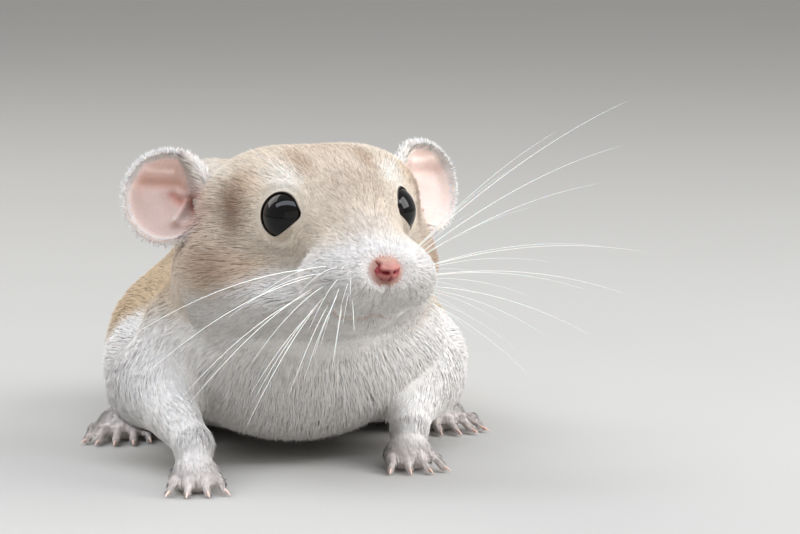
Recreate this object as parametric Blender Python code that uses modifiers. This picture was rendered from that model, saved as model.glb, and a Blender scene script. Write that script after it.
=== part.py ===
# A fat-tailed gerbil, life size: it crouches with its head raised, forepaws apart and one a
# little ahead, and its thick tail lies behind it. Run with: blender --background --python part.py
# The flesh is one smooth form, blended from ellipsoids and tapered limbs, and parted by thin cuts.
# Sizes are in millimetres while modelling and become metres at the end. The animal faces -Y, its
# left side is +X and the floor is z = 0. Head sizes are in the head's own frame, from between the eyes.

import math
import random

import bmesh
import bpy
import numpy as np
from mathutils import Matrix, Vector

# Driving dimensions, in millimetres and degrees
MM = 0.001
GAP = 0.3
EYE_HEIGHT = 30.0
HEAD_PLACE = Vector((3.0, -36.0, EYE_HEIGHT))
HEAD_TURN = 11.0
HEAD_LIFT = 5.0
EYE_RADIUS = 2.9
EYE_SIDE = 5.5
TRUNK_SIDE = 1.6
TRUNK_WIDTH = 40.0
TRUNK_HEIGHT = 27.0
TAIL_LENGTH = 48.0
WHISKER_THICKNESS = 0.5

# Sizes of the voxels that the flesh and its cutting regions start from, and the triangles that a
# region keeps, that a part starts its cuts with, and that a node keeps at the end
FLESH_VOXEL = 0.45
REGION_VOXEL = 0.8
REGION_TRIANGLES = 1200
CUT_TRIANGLES = {"head": 7000, "torso": 5200, "leg": 3600, "tail": 900}
KEPT_TRIANGLES = {
    "head": 2800, "muzzle": 1400, "lower_jaw": 300, "nose": 260, "ear": 480, "neck": 380,
    "torso": 2200, "foreleg": 450, "forepaw": 680, "hindleg": 750, "hindfoot": 860, "tail": 600,
}

SIDES = {"left": 1, "right": -1}
HEAD_FRAME = (
    Matrix.Translation(HEAD_PLACE)
    @ Matrix.Rotation(math.radians(HEAD_TURN), 4, "Z")
    @ Matrix.Rotation(math.radians(-HEAD_LIFT), 4, "X")
)
EYE_AXIS = Vector((0.78, -0.61, 0.12)).normalized()
EYE_CENTRE = Vector((EYE_SIDE, 0.9, -0.6))


# Forms: each is a dictionary that gives its distance function what it needs

def ellipsoid(centre, radii, blend=3.0, frame=None, tilt=(0, 0, 0)):
    turn = Matrix.Identity(4)
    for degrees, axis in zip(tilt, "XYZ"):
        turn = Matrix.Rotation(math.radians(degrees), 4, axis) @ turn
    place = (frame or Matrix.Identity(4)) @ Matrix.Translation(centre) @ turn
    return {"kind": "ellipsoid", "place": place, "radii": Vector(radii), "blend": blend}


def limb(start, end, start_radius, end_radius, blend=2.0):
    ends = (Vector(start), Vector(end))
    return {"kind": "limb", "ends": ends, "radii": (start_radius, end_radius), "blend": blend}


def ring(centre, axis, radius, thickness, blend=0.5, frame=None):
    turn = Vector(axis).to_track_quat("Z", "Y").to_matrix().to_4x4()
    place = (frame or Matrix.Identity(4)) @ Matrix.Translation(centre) @ turn
    return {"kind": "ring", "place": place, "radii": (radius, thickness), "blend": blend}


def mirrored(point, side):
    return Vector((point[0] * side, point[1], point[2]))


def head_forms():
    forms = [
        ellipsoid((0, 9.0, -1.8), (11.2, 12.5, 7.6), 3, HEAD_FRAME),
        ellipsoid((0, 8.0, 1.2), (9.6, 9.0, 5.2), 3, HEAD_FRAME),
        ellipsoid((0, 1.5, -1.2), (5.6, 9.5, 5.4), 3, HEAD_FRAME),
        ellipsoid((0, -3.0, -2.9), (4.2, 7.5, 3.1), 3, HEAD_FRAME),
        ellipsoid((0, -5.8, -6.1), (4.8, 8.0, 4.0), 2, HEAD_FRAME),
        ellipsoid((0, -3.8, -10.4), (3.5, 5.4, 2.6), 1.5, HEAD_FRAME),
        ellipsoid((0, 6.0, -9.2), (9.5, 9.0, 5.0), 3, HEAD_FRAME),
    ]
    for side in SIDES.values():
        forms += [
            ellipsoid((5.4 * side, 9.6, 1.3), (5.4, 7.4, 4.6), 3, HEAD_FRAME),
            ellipsoid((7.9 * side, 12.4, -6.8), (6.9, 9.2, 6.4), 3, HEAD_FRAME),
            ellipsoid((3.6 * side, -8.0, -7.1), (3.3, 4.6, 3.3), 2.2, HEAD_FRAME),
            ellipsoid((9.6 * side, 16.4, 2.2), (3.0, 2.4, 3.6), 2, HEAD_FRAME),
            ring(
                mirrored(EYE_CENTRE + 1.1 * EYE_AXIS, side),
                mirrored(EYE_AXIS, side), 3.05, 0.65, 0.9, HEAD_FRAME,
            ),
        ]
    return forms


NOSE_CENTRE = (0, -12.4, -5.9)
NOSE_RADII = (1.75, 1.6, 1.35)
NOSTRIL_CENTRE = (1.05, -1.25, -0.1)
NOSTRIL_RADII = (0.55, 0.75, 0.4)


def trunk_forms():
    half = TRUNK_WIDTH / 2
    middle = TRUNK_HEIGHT / 2
    return [
        ellipsoid((1.4, -18.5, 21.0), (13.6, 11.5, 11.0), 5),
        ellipsoid((0.6, -17.5, 13.5), (15.4, 11.5, 11.8), 5),
        ellipsoid((TRUNK_SIDE, -4.0, middle + 2.5), (half * 0.62, 18.0, middle - 0.5), 5),
        ellipsoid((TRUNK_SIDE, -1.5, middle * 0.68), (half, 17.0, middle * 0.7), 5),
        ellipsoid((TRUNK_SIDE, 7.5, middle - 0.8), (half * 0.73, 14.5, middle - 0.4), 5),
    ]


# Joints of each foreleg and hind leg, and the way its foot points, on the left side and right
FORELEGS = {
    "left": {
        "shoulder": (11.0, -16.5, 14.0), "elbow": (15.2, -15.5, 8.4),
        "wrist": (12.4, -24.0, 4.2), "palm": (11.8, -26.8, 1.6), "heading": 8,
    },
    "right": {
        "shoulder": (-11.2, -17.5, 13.8), "elbow": (-15.6, -19.5, 8.8),
        "wrist": (-12.6, -31.6, 4.6), "palm": (-12.6, -34.6, 1.6), "heading": -4,
    },
}
HINDLEGS = {
    "left": {
        "thigh": (14.0, 2.0, 9.4), "knee": (17.4, -5.5, 8.0),
        "heel": (15.6, 10.0, 2.2), "ball": (19.4, -4.6, 1.6), "heading": 14,
    },
    "right": {
        "thigh": (-11.2, 3.0, 9.4), "knee": (-14.8, -4.5, 8.0),
        "heel": (-13.2, 11.0, 2.2), "ball": (-17.6, -4.0, 1.6), "heading": -16,
    },
}
THIGH_RADII = (7.3, 12.5, 7.7)
FORE_TOES = {"count": 4, "spread": 15, "width": 1.25, "length": 3.2, "radius": 0.58, "claw": 1.4}
HIND_TOES = {"count": 5, "spread": 10, "width": 1.2, "length": 4.6, "radius": 0.62, "claw": 1.5}


def toe_lines(palm, heading, toes):
    # Start, knuckle, tip and claw tip of each toe, fanned out on the floor from the palm
    lines = []
    middle = (toes["count"] - 1) / 2
    for number in range(toes["count"]):
        step = number - middle
        angle = math.radians(heading + step * toes["spread"])
        ahead = Vector((math.sin(angle), -math.cos(angle), 0))
        start = Vector(palm) + Vector((step * toes["width"], -0.6, 0))
        length = toes["length"] * (1 - 0.07 * step * step)
        start.z = toes["radius"] + 0.7
        knuckle = start + ahead * length * 0.5 + Vector((0, 0, 0.25))
        tip = start + ahead * length
        tip.z = toes["radius"] - 0.08
        claw_tip = tip + ahead * toes["claw"]
        claw_tip.z = 0.22
        lines.append((start, knuckle, tip, claw_tip))
    return lines


def toe_forms(palm, heading, toes):
    forms = []
    for start, knuckle, tip, claw_tip in toe_lines(palm, heading, toes):
        radius = toes["radius"]
        forms.append(limb(start, knuckle, radius * 1.05, radius, 0.5))
        forms.append(limb(knuckle, tip, radius, radius * 0.92, 0.5))
    return forms


def foreleg_forms(side):
    leg = FORELEGS[side]
    return [
        limb(leg["shoulder"], leg["elbow"], 5.2, 4.6, 4),
        limb(leg["elbow"], leg["wrist"], 4.5, 2.1, 2.5),
        limb(leg["wrist"], leg["palm"], 2.05, 2.0, 1.2),
        ellipsoid(leg["palm"], (2.7, 2.6, 1.9), 1.0),
    ] + toe_forms(leg["palm"], leg["heading"], FORE_TOES)


def hindfoot_forms(side):
    leg = HINDLEGS[side]
    return [
        limb(leg["heel"], leg["ball"], 2.5, 2.2, 1.5),
        ellipsoid(leg["ball"], (2.9, 3.0, 1.8), 1.0),
    ] + toe_forms(leg["ball"], leg["heading"], HIND_TOES)


def hindleg_forms(side):
    leg = HINDLEGS[side]
    return [
        ellipsoid(leg["thigh"], THIGH_RADII, 4, tilt=(12, 0, 0)),
        limb(leg["knee"], leg["heel"], 4.6, 2.8, 3),
    ] + hindfoot_forms(side)


# The tail is a club: it swells behind its root and tapers from there, in one slow bend
TAIL_ROOT = Vector((1.4, 17.0, 8.2))
TAIL_WIDEST = 4.7


def tail_point(share):
    along = share * TAIL_LENGTH
    bend = 11.0 * share * share
    radius = TAIL_WIDEST * (0.84 + 0.9 * share) if share < 0.18 else TAIL_WIDEST
    if share > 0.45:
        radius *= 1 - 0.8 * ((share - 0.45) / 0.55) ** 1.35
    height = max(radius - 0.12, TAIL_ROOT.z - 26.0 * share)
    return Vector((TAIL_ROOT.x + bend, TAIL_ROOT.y + along, height)), radius


def tail_forms():
    steps = 14
    points = [tail_point(step / steps) for step in range(steps + 1)]
    return [
        limb(start, end, start_radius, end_radius, 4.5 if number < 2 else 0.4)
        for number, ((start, start_radius), (end, end_radius)) in enumerate(zip(points, points[1:]))
    ]


def flesh_forms():
    forms = trunk_forms() + head_forms() + tail_forms()
    for side in SIDES:
        forms += foreleg_forms(side) + hindleg_forms(side)
    return forms


# The distance from points to the blended surface: below zero is inside

REACH = 5.0


def form_distance(form, points):
    if form["kind"] == "limb":
        start, end = (np.array(p) for p in form["ends"])
        along = end - start
        share = np.clip((points - start) @ along / (along @ along), 0, 1)
        radius = form["radii"][0] + (form["radii"][1] - form["radii"][0]) * share
        return np.linalg.norm(points - start - share[:, None] * along, axis=1) - radius
    to_form = np.array(form["place"].inverted())
    local = points @ to_form[:3, :3].T + to_form[:3, 3]
    if form["kind"] == "ring":
        radius, thickness = form["radii"]
        from_ring = np.hypot(local[:, 0], local[:, 1]) - radius
        return np.hypot(from_ring, local[:, 2]) - thickness
    radii = np.array(form["radii"])
    scaled = np.linalg.norm(local / radii, axis=1)
    steepness = np.linalg.norm(local / radii**2, axis=1) + 1e-9
    return scaled * (scaled - 1) / steepness


def form_bounds(form):
    if form["kind"] == "limb":
        start, end = form["ends"]
        return (start + end) / 2, (end - start).length / 2 + max(form["radii"])
    centre = form["place"].translation
    if form["kind"] == "ring":
        return centre, sum(form["radii"])
    return centre, max(form["radii"])


def smooth_min(a, b, blend):
    near = np.clip(blend - np.abs(a - b), 0, None) / blend
    return np.minimum(a, b) - near * near * blend / 4


def surface_distance(forms, points):
    result = np.full(len(points), REACH)
    for form in forms:
        centre, radius = form_bounds(form)
        away = np.linalg.norm(points - np.array(centre), axis=1)
        near = away < radius + REACH
        found = form_distance(form, points[near])
        result[near] = smooth_min(result[near], found, form["blend"])
    return result


def step_to_surface(forms, points, level):
    probe = 0.05
    corners = np.array([(1, -1, -1), (-1, -1, 1), (-1, 1, -1), (1, 1, 1)]) * probe
    slope = sum(
        corner[None, :] * surface_distance(forms, points + corner)[:, None] for corner in corners
    )
    slope = slope / (4 * probe * probe)
    steep = np.clip((slope * slope).sum(axis=1), 0.1, None)
    off = surface_distance(forms, points) - level
    step = np.clip(off / steep, -1.0, 1.0)
    return points - slope * step[:, None]


# Mesh helpers

def new_object(name, mesh):
    obj = bpy.data.objects.new(name, mesh)
    bpy.context.scene.collection.objects.link(obj)
    return obj


def object_from(name, bm):
    mesh = bpy.data.meshes.new(name)
    bm.to_mesh(mesh)
    bm.free()
    return new_object(name, mesh)


def remove(obj):
    bpy.data.objects.remove(obj)


def apply_modifiers(obj):
    graph = bpy.context.evaluated_depsgraph_get()
    mesh = bpy.data.meshes.new_from_object(obj.evaluated_get(graph))
    obj.modifiers.clear()
    obj.data = mesh
    return obj


def add_primitives(bm, form, level):
    if form["kind"] == "limb":
        start, end = form["ends"]
        first, last = (radius + level for radius in form["radii"])
        for point, radius in ((start, first), (end, last)):
            bmesh.ops.create_icosphere(
                bm, subdivisions=3, radius=radius, matrix=Matrix.Translation(point)
            )
        along = end - start
        turn = along.to_track_quat("Z", "Y").to_matrix().to_4x4()
        bmesh.ops.create_cone(
            bm, cap_ends=True, segments=24, radius1=first, radius2=last, depth=along.length,
            matrix=Matrix.Translation((start + end) / 2) @ turn,
        )
    elif form["kind"] == "ellipsoid":
        size = Matrix.Diagonal((*(r + level for r in form["radii"]), 1))
        bmesh.ops.create_icosphere(bm, subdivisions=4, radius=1, matrix=form["place"] @ size)


def surface_mesh(name, forms, voxel, level=0.0, rounds=5):
    # The blended surface at that distance, from a voxel remesh of the forms drawn onto it
    bm = bmesh.new()
    for form in forms:
        add_primitives(bm, form, level)
    obj = object_from(name, bm)
    remesh = obj.modifiers.new("voxels", "REMESH")
    remesh.mode = "VOXEL"
    remesh.voxel_size = voxel
    apply_modifiers(obj)
    mesh = obj.data
    points = np.empty(len(mesh.vertices) * 3)
    mesh.vertices.foreach_get("co", points)
    points = points.reshape(-1, 3)
    edges = np.empty(len(mesh.edges) * 2, int)
    mesh.edges.foreach_get("vertices", edges)
    edges = edges.reshape(-1, 2)
    valence = np.bincount(edges.ravel(), minlength=len(points))[:, None]
    for number in range(rounds):
        points = step_to_surface(forms, points, level)
        if number < rounds - 1:
            total = np.zeros_like(points)
            np.add.at(total, edges[:, 0], points[edges[:, 1]])
            np.add.at(total, edges[:, 1], points[edges[:, 0]])
            points = points * 0.5 + total / valence * 0.5
    points = step_to_surface(forms, points, level)
    mesh.vertices.foreach_set("co", points.ravel())
    mesh.update()
    return obj


def copy_of(obj, name):
    return new_object(name, obj.data.copy())


def cut_by_plane(obj, point, normal, gap=GAP):
    # Keeps the side that the normal points away from, half a gap short of the plane
    normal = Vector(normal).normalized()
    bm = bmesh.new()
    bm.from_mesh(obj.data)
    cut = bmesh.ops.bisect_plane(
        bm, geom=bm.verts[:] + bm.edges[:] + bm.faces[:], dist=1e-4,
        plane_co=Vector(point) - normal * gap / 2, plane_no=normal, clear_outer=True,
    )
    rim = [e for e in cut["geom_cut"] if isinstance(e, bmesh.types.BMEdge)]
    bmesh.ops.holes_fill(bm, edges=[e for e in rim if e.is_boundary], sides=0)
    bmesh.ops.triangulate(bm, faces=bm.faces[:])
    bm.to_mesh(obj.data)
    bm.free()
    return obj


def combine(obj, others, operation):
    # One Boolean with a collection of closed meshes, which are removed afterwards. Blender's
    # EXACT solver loses two of these meshes, so all the cuts use MANIFOLD.
    cutters = bpy.data.collections.new("cutters")
    bpy.context.scene.collection.children.link(cutters)
    for other in others:
        cutters.objects.link(other)
    boolean = obj.modifiers.new("cut", "BOOLEAN")
    boolean.operation = operation
    boolean.solver = "MANIFOLD"
    boolean.operand_type = "COLLECTION"
    boolean.collection = cutters
    apply_modifiers(obj)
    for other in others:
        remove(other)
    bpy.data.collections.remove(cutters)
    return keep_largest(obj)


def keep_largest(obj):
    bm = bmesh.new()
    bm.from_mesh(obj.data)
    bmesh.ops.triangulate(bm, faces=bm.faces[:])
    unseen = set(bm.faces)
    pieces = []
    while unseen:
        stack = [unseen.pop()]
        piece = []
        while stack:
            face = stack.pop()
            piece.append(face)
            for edge in face.edges:
                for other in edge.link_faces:
                    if other in unseen:
                        unseen.remove(other)
                        stack.append(other)
        pieces.append(piece)
    pieces.sort(key=len, reverse=True)
    loose = [face for piece in pieces[1:] for face in piece]
    bmesh.ops.delete(bm, geom=loose, context="FACES")
    bm.to_mesh(obj.data)
    bm.free()
    return obj


def thin_out(obj, triangles):
    obj.data.calc_loop_triangles()
    share = triangles / len(obj.data.loop_triangles)
    if share < 1:
        decimate = obj.modifiers.new("fewer", "DECIMATE")
        decimate.ratio = share
        decimate.use_collapse_triangulate = True
        apply_modifiers(obj)
    return obj


def crop(obj, low, high):
    # Keeps what lies in the box, so that the cuts after it work on fewer faces
    for axis in range(3):
        ahead = Vector([1.0 if axis == k else 0.0 for k in range(3)])
        cut_by_plane(obj, high, ahead, 0)
        cut_by_plane(obj, low, -ahead, 0)
    return obj


def part_of(flesh, name, low, high, triangles):
    # A copy of one region of the flesh with fewer faces, ready for the exact cuts
    return thin_out(crop(copy_of(flesh, name), low, high), triangles)


def region(forms, level, voxel=REGION_VOXEL, triangles=REGION_TRIANGLES):
    return thin_out(surface_mesh("region", forms, voxel, level), triangles)


def spine(points, radii, sides):
    # A tapered closed rod through the points, ending in a point
    bm = bmesh.new()
    last = rim = None
    for number, radius in enumerate(radii):
        along = points[number + 1] - points[max(number - 1, 0)]
        turn = along.to_track_quat("Z", "Y").to_matrix().to_4x4()
        place = Matrix.Translation(points[number]) @ turn @ Matrix.Scale(radius, 4)
        if rim is None:
            bmesh.ops.create_circle(bm, cap_ends=True, segments=sides, radius=1, matrix=place)
            rim = bm.edges[:]
        else:
            grown = bmesh.ops.extrude_edge_only(bm, edges=rim)["geom"]
            ends = [item for item in grown if isinstance(item, bmesh.types.BMVert)]
            rim = [e for e in grown if isinstance(e, bmesh.types.BMEdge) and e.is_boundary]
            bmesh.ops.transform(bm, matrix=place @ last.inverted(), verts=ends)
        last = place
    cap = bmesh.ops.edgeloop_fill(bm, edges=rim)["faces"]
    bmesh.ops.poke(bm, faces=cap)["verts"][0].co = points[-1]
    bmesh.ops.triangulate(bm, faces=bm.faces[:])
    bmesh.ops.recalc_face_normals(bm, faces=bm.faces[:])
    return object_from("spine", bm)


def ball(name, place, radii, subdivisions=3):
    bm = bmesh.new()
    size = Matrix.Diagonal((*radii, 1))
    bmesh.ops.create_icosphere(bm, subdivisions=subdivisions, radius=1, matrix=place @ size)
    return object_from(name, bm)


# Planes that part the head from the neck and the neck from the torso, each with the way to the head
HEAD_PLANE = (Vector((0, -20.0, 30.0)), Vector((0, -0.88, 0.47)))
NECK_PLANE = (Vector((0, -13.0, 30.0)), Vector((0, -0.77, 0.64)))
MUZZLE_PLANE = (HEAD_FRAME @ Vector((0, -4.2, 0)), HEAD_FRAME.to_3x3() @ Vector((0, -1, 0)))
TAIL_PLANE = (Vector((1.6, 22.6, 6.0)), Vector((0.05, 0.93, -0.37)))
JAW_PLACE = HEAD_FRAME @ Matrix.Translation((0, -2.5, -14.0))
JAW_RADII = Vector((5.5, 8.0, 3.6))

# Boxes that hold each region of the flesh, lowest and highest corner
HEAD_BOX = ((-20, -52, 13), (26, -12, 44))
TRUNK_BOX = ((-26, -40, -1), (26, 26, 40))
TAIL_BOX = ((-8, 16, -1), (22, 70, 16))


def make_head(flesh):
    head = part_of(flesh, "head", *HEAD_BOX, CUT_TRIANGLES["head"])
    cut_by_plane(head, HEAD_PLANE[0], -HEAD_PLANE[1])
    muzzle = copy_of(head, "muzzle")
    jaw = copy_of(head, "lower_jaw")
    cut_by_plane(muzzle, MUZZLE_PLANE[0], -MUZZLE_PLANE[1])
    cut_by_plane(head, *MUZZLE_PLANE)
    combine(jaw, [ball("jaw_region", JAW_PLACE, JAW_RADII)], "INTERSECT")
    wider = JAW_RADII + Vector((GAP, GAP, GAP))
    nose_place = HEAD_FRAME @ Matrix.Translation(NOSE_CENTRE)
    nose_hollow = ball("hollow", nose_place, [radius + GAP for radius in NOSE_RADII])
    combine(muzzle, [ball("jaw_hollow", JAW_PLACE, wider), nose_hollow], "DIFFERENCE")
    hollows = [ball("jaw_hollow", JAW_PLACE, wider)]
    for side in SIDES.values():
        place = HEAD_FRAME @ Matrix.Translation(mirrored(EYE_CENTRE, side))
        hollows.append(ball("socket", place, [EYE_RADIUS + GAP] * 3))
    combine(head, hollows, "DIFFERENCE")
    combine(thin_out(muzzle, KEPT_TRIANGLES["muzzle"]), whiskers(), "UNION")
    thin_out(head, KEPT_TRIANGLES["head"])
    thin_out(jaw, KEPT_TRIANGLES["lower_jaw"])
    return [head, muzzle, jaw, make_nose(nose_place)]


def make_nose(place):
    # The bare pad, with a nostril let into each side of its front
    nose = ball("nose", place, NOSE_RADII)
    pits = []
    for side in SIDES.values():
        pit = place @ Matrix.Translation(mirrored(NOSTRIL_CENTRE, side))
        pits.append(ball("nostril", pit, NOSTRIL_RADII, 2))
    combine(nose, pits, "DIFFERENCE")
    return thin_out(nose, KEPT_TRIANGLES["nose"])


# The whiskers fan out from the top row of the pad down to its bottom row, at these angles. The
# right ones hang lower, as the animal lets them fall to that side.
WHISKERS = {
    "rows": 5, "columns": 3, "front_length": 13.0, "back_length": 37.0,
    "sweep": {"left": (44, 76), "right": (22, 50)},
    "rise": {"left": (46, -16), "right": (8, -22)}, "sag": (0.20, 0.32), "back_sag": 0.10,
    "lowest_share": 0.45, "root": (2.9, -9.9, -5.8), "bed": (0.9, 3.4, 2.8),
}


def whiskers():
    # Rows run down the whisker pad and columns back along it; the rearmost are the longest
    spread = random.Random(7)
    found = []
    for name, side in SIDES.items():
        for row in range(WHISKERS["rows"]):
            for column in range(WHISKERS["columns"]):
                down = row / (WHISKERS["rows"] - 1)
                back = column / (WHISKERS["columns"] - 1)
                length = WHISKERS["front_length"]
                length += (WHISKERS["back_length"] - length) * back
                length *= 1 - (1 - WHISKERS["lowest_share"]) * down**1.5
                length *= spread.uniform(0.94, 1.04)
                top, bottom = WHISKERS["rise"][name]
                rise = math.radians(top + (bottom - top) * down + spread.uniform(-5, 5))
                first, last = WHISKERS["sweep"][name]
                sweep = math.radians(first + (last - first) * back + spread.uniform(-4, 4))
                ahead = Vector((side * math.sin(sweep), -math.cos(sweep), 0)) * math.cos(rise)
                ahead.z = math.sin(rise)
                wide, long, high = WHISKERS["bed"]
                bed = Vector((wide * back, long * back, -high * down))
                root = mirrored(Vector(WHISKERS["root"]) + bed, side)
                least, most = WHISKERS["sag"]
                sag = least + (most - least) * down
                points = []
                for share in (0.0, 0.25, 0.5, 0.75, 1.0):
                    bend = Vector((0, WHISKERS["back_sag"], -sag)) * share * share * length
                    points.append(HEAD_FRAME @ (root + ahead * share * length + bend))
                half = WHISKER_THICKNESS / 2
                found.append(spine(points, (half, half * 0.9, half * 0.78, half * 0.6), 3))
    return found


EAR_CENTRE = Vector((14.8, 14.2, 1.4))
EAR_AXIS = Vector((0.45, -0.86, 0.22))
EAR_RADII = Vector((4.9, 5.15, 2.8))
EAR_WALL = 0.8


def make_ear(side, head_surface):
    # Half of a hollow ellipsoid, open to the front and side, and cut to sit on the head
    way = mirrored(EAR_AXIS, SIDES[side])
    turn = way.to_track_quat("Z", "Y").to_matrix().to_4x4()
    place = HEAD_FRAME @ Matrix.Translation(mirrored(EAR_CENTRE, SIDES[side])) @ turn
    ear = ball("ear_" + side, place, EAR_RADII)
    cut_by_plane(ear, place.translation, place.to_3x3() @ Vector((0, 0, 1)), 0)
    thin = Vector((EAR_WALL, EAR_WALL, EAR_WALL))
    combine(ear, [ball("cup", place, EAR_RADII - thin)], "DIFFERENCE")
    combine(ear, [copy_of(head_surface, "cutter")], "DIFFERENCE")
    return thin_out(ear, KEPT_TRIANGLES["ear"])


def make_eye(side):
    place = HEAD_FRAME @ Matrix.Translation(mirrored(EYE_CENTRE, SIDES[side]))
    return ball("eye_" + side, place, [EYE_RADIUS] * 3)


CLAW = {"sunk": 0.5, "arch": 0.28, "radii": (0.42, 0.3)}


def claws(palm, heading, toes):
    found = []
    for start, knuckle, tip, claw_tip in toe_lines(palm, heading, toes):
        back = tip + (start - tip).normalized() * CLAW["sunk"]
        rise = (tip + claw_tip) / 2 + Vector((0, 0, CLAW["arch"]))
        found.append(spine((back, rise, claw_tip), CLAW["radii"], 4))
    return found


# How far beyond the legs' own forms a cut takes the flesh with them
LEG_MARGIN = 1.0
FOOT_MARGIN = 0.7


def make_foreleg(side, flesh):
    leg = FORELEGS[side]
    low, high = leg_box(side, -44, 2, 24)
    upper = part_of(flesh, "foreleg_" + side, low, high, CUT_TRIANGLES["leg"])
    combine(upper, [region(foreleg_forms(side), LEG_MARGIN)], "INTERSECT")
    combine(upper, [hindleg_cutter(side)], "DIFFERENCE")
    paw = copy_of(upper, "forepaw_" + side)
    down = (Vector(leg["palm"]) - Vector(leg["elbow"])).normalized()
    cut_by_plane(upper, leg["wrist"], down)
    cut_by_plane(paw, leg["wrist"], -down)
    thin_out(paw, KEPT_TRIANGLES["forepaw"])
    combine(paw, claws(leg["palm"], leg["heading"], FORE_TOES), "UNION")
    return [thin_out(keep_largest(upper), KEPT_TRIANGLES["foreleg"]), paw]


def leg_box(side, front, back, top):
    if SIDES[side] > 0:
        return (4, front, -1), (26, back, top)
    return (-26, front, -1), (-4, back, top)


def make_hindleg(side, flesh):
    leg = HINDLEGS[side]
    low, high = leg_box(side, -22, 20, 26)
    upper = part_of(flesh, "hindleg_" + side, low, high, CUT_TRIANGLES["leg"])
    foot = copy_of(upper, "hindfoot_" + side)
    combine(foot, [region(hindfoot_forms(side), FOOT_MARGIN)], "INTERSECT")
    leg_region = inner_cut(region(hindleg_forms(side), LEG_MARGIN), side, GAP / 2)
    combine(upper, [leg_region], "INTERSECT")
    combine(upper, [region(hindfoot_forms(side), FOOT_MARGIN + GAP)], "DIFFERENCE")
    thin_out(foot, KEPT_TRIANGLES["hindfoot"])
    combine(foot, claws(leg["ball"], leg["heading"], HIND_TOES), "UNION")
    return [thin_out(upper, KEPT_TRIANGLES["hindleg"]), foot]


LEG_INNER_SIDE = 7.5


def inner_cut(obj, side, inset):
    # Takes away what lies nearer the middle than the legs' inner side
    place = Vector(((LEG_INNER_SIDE + inset) * SIDES[side], 0, 0))
    return cut_by_plane(obj, place, (-SIDES[side], 0, 0), 0)


def hindleg_cutter(side):
    return inner_cut(region(hindleg_forms(side), LEG_MARGIN + GAP), side, -GAP / 2)


def make_trunk(flesh):
    torso = part_of(flesh, "torso", *TRUNK_BOX, CUT_TRIANGLES["torso"])
    neck = copy_of(torso, "neck")
    cut_by_plane(torso, *NECK_PLANE)
    cut_by_plane(torso, *TAIL_PLANE)
    cut_by_plane(neck, NECK_PLANE[0], -NECK_PLANE[1])
    cut_by_plane(neck, *HEAD_PLANE)
    keep_largest(neck)
    cutters = []
    for side in SIDES:
        cutters.append(region(foreleg_forms(side), LEG_MARGIN + GAP))
        cutters.append(hindleg_cutter(side))
    combine(torso, cutters, "DIFFERENCE")
    return [thin_out(torso, KEPT_TRIANGLES["torso"]), thin_out(neck, KEPT_TRIANGLES["neck"])]


def make_tail(flesh):
    tail = part_of(flesh, "tail", *TAIL_BOX, CUT_TRIANGLES["tail"])
    cut_by_plane(tail, TAIL_PLANE[0], -TAIL_PLANE[1])
    return thin_out(keep_largest(tail), KEPT_TRIANGLES["tail"])


# Colour in sRGB and roughness of each kind of node, by the start of its name
FINISHES = {
    "head": ("E0D2BE", 0.85), "muzzle": ("F1ECE6", 0.85), "lower_jaw": ("F4F1EC", 0.85),
    "nose": ("C98F88", 0.5), "ear": ("DDB5A8", 0.7), "eye": ("0A0808", 0.05),
    "neck": ("E6DACA", 0.85), "torso": ("DCCDB6", 0.85), "foreleg": ("F0EBE4", 0.85),
    "forepaw": ("F0DED6", 0.75), "hindleg": ("E2D5C2", 0.85), "hindfoot": ("F0DED6", 0.75),
    "tail": ("D9B5A2", 0.8),
}


def linear(hex_colour):
    channels = [int(hex_colour[place:place + 2], 16) / 255 for place in (0, 2, 4)]
    return [c / 12.92 if c <= 0.04045 else ((c + 0.055) / 1.055) ** 2.4 for c in channels]


def finish(obj):
    colour, roughness = FINISHES[obj.name.split("_")[0] if obj.name != "lower_jaw" else "lower_jaw"]
    material = bpy.data.materials.new(obj.name + "_finish")
    material.use_nodes = True
    shader = material.node_tree.nodes["Principled BSDF"]
    shader.inputs["Base Color"].default_value = (*linear(colour), 1)
    shader.inputs["Roughness"].default_value = roughness
    shader.inputs["Metallic"].default_value = 0
    obj.data.materials.clear()
    obj.data.materials.append(material)
    obj.data.shade_smooth()
    obj.data.set_sharp_from_angle(angle=math.radians(50))


def middle_of(objects):
    # The middle of the box round all the nodes, on the floor
    corners = np.array([tuple(vert.co) for obj in objects for vert in obj.data.vertices])
    middle = (corners.min(axis=0) + corners.max(axis=0)) / 2
    return Vector((middle[0], middle[1], 0))


def main():
    for obj in list(bpy.data.objects):
        bpy.data.objects.remove(obj)
    flesh = surface_mesh("flesh", flesh_forms(), FLESH_VOXEL)
    cut_by_plane(flesh, (0, 0, 0), (0, 0, -1), 0)
    head_surface = region(trunk_forms() + head_forms(), GAP, 0.7, CUT_TRIANGLES["head"])
    nodes = make_head(flesh) + make_trunk(flesh) + [make_tail(flesh)]
    for side in SIDES:
        nodes += [make_ear(side, head_surface), make_eye(side)]
        nodes += make_foreleg(side, flesh) + make_hindleg(side, flesh)
    remove(head_surface)
    remove(flesh)
    gerbil = bpy.data.collections.new("gerbil")
    bpy.context.scene.collection.children.link(gerbil)
    to_row = Matrix.Scale(MM, 4) @ Matrix.Translation(-middle_of(nodes))
    for node in nodes:
        node.data.transform(to_row)
        gerbil.objects.link(node)
        bpy.context.scene.collection.objects.unlink(node)
        finish(node)


main()
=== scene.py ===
import math
import random

import bmesh
import bpy
import numpy as np
from mathutils import Matrix, Vector


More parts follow.
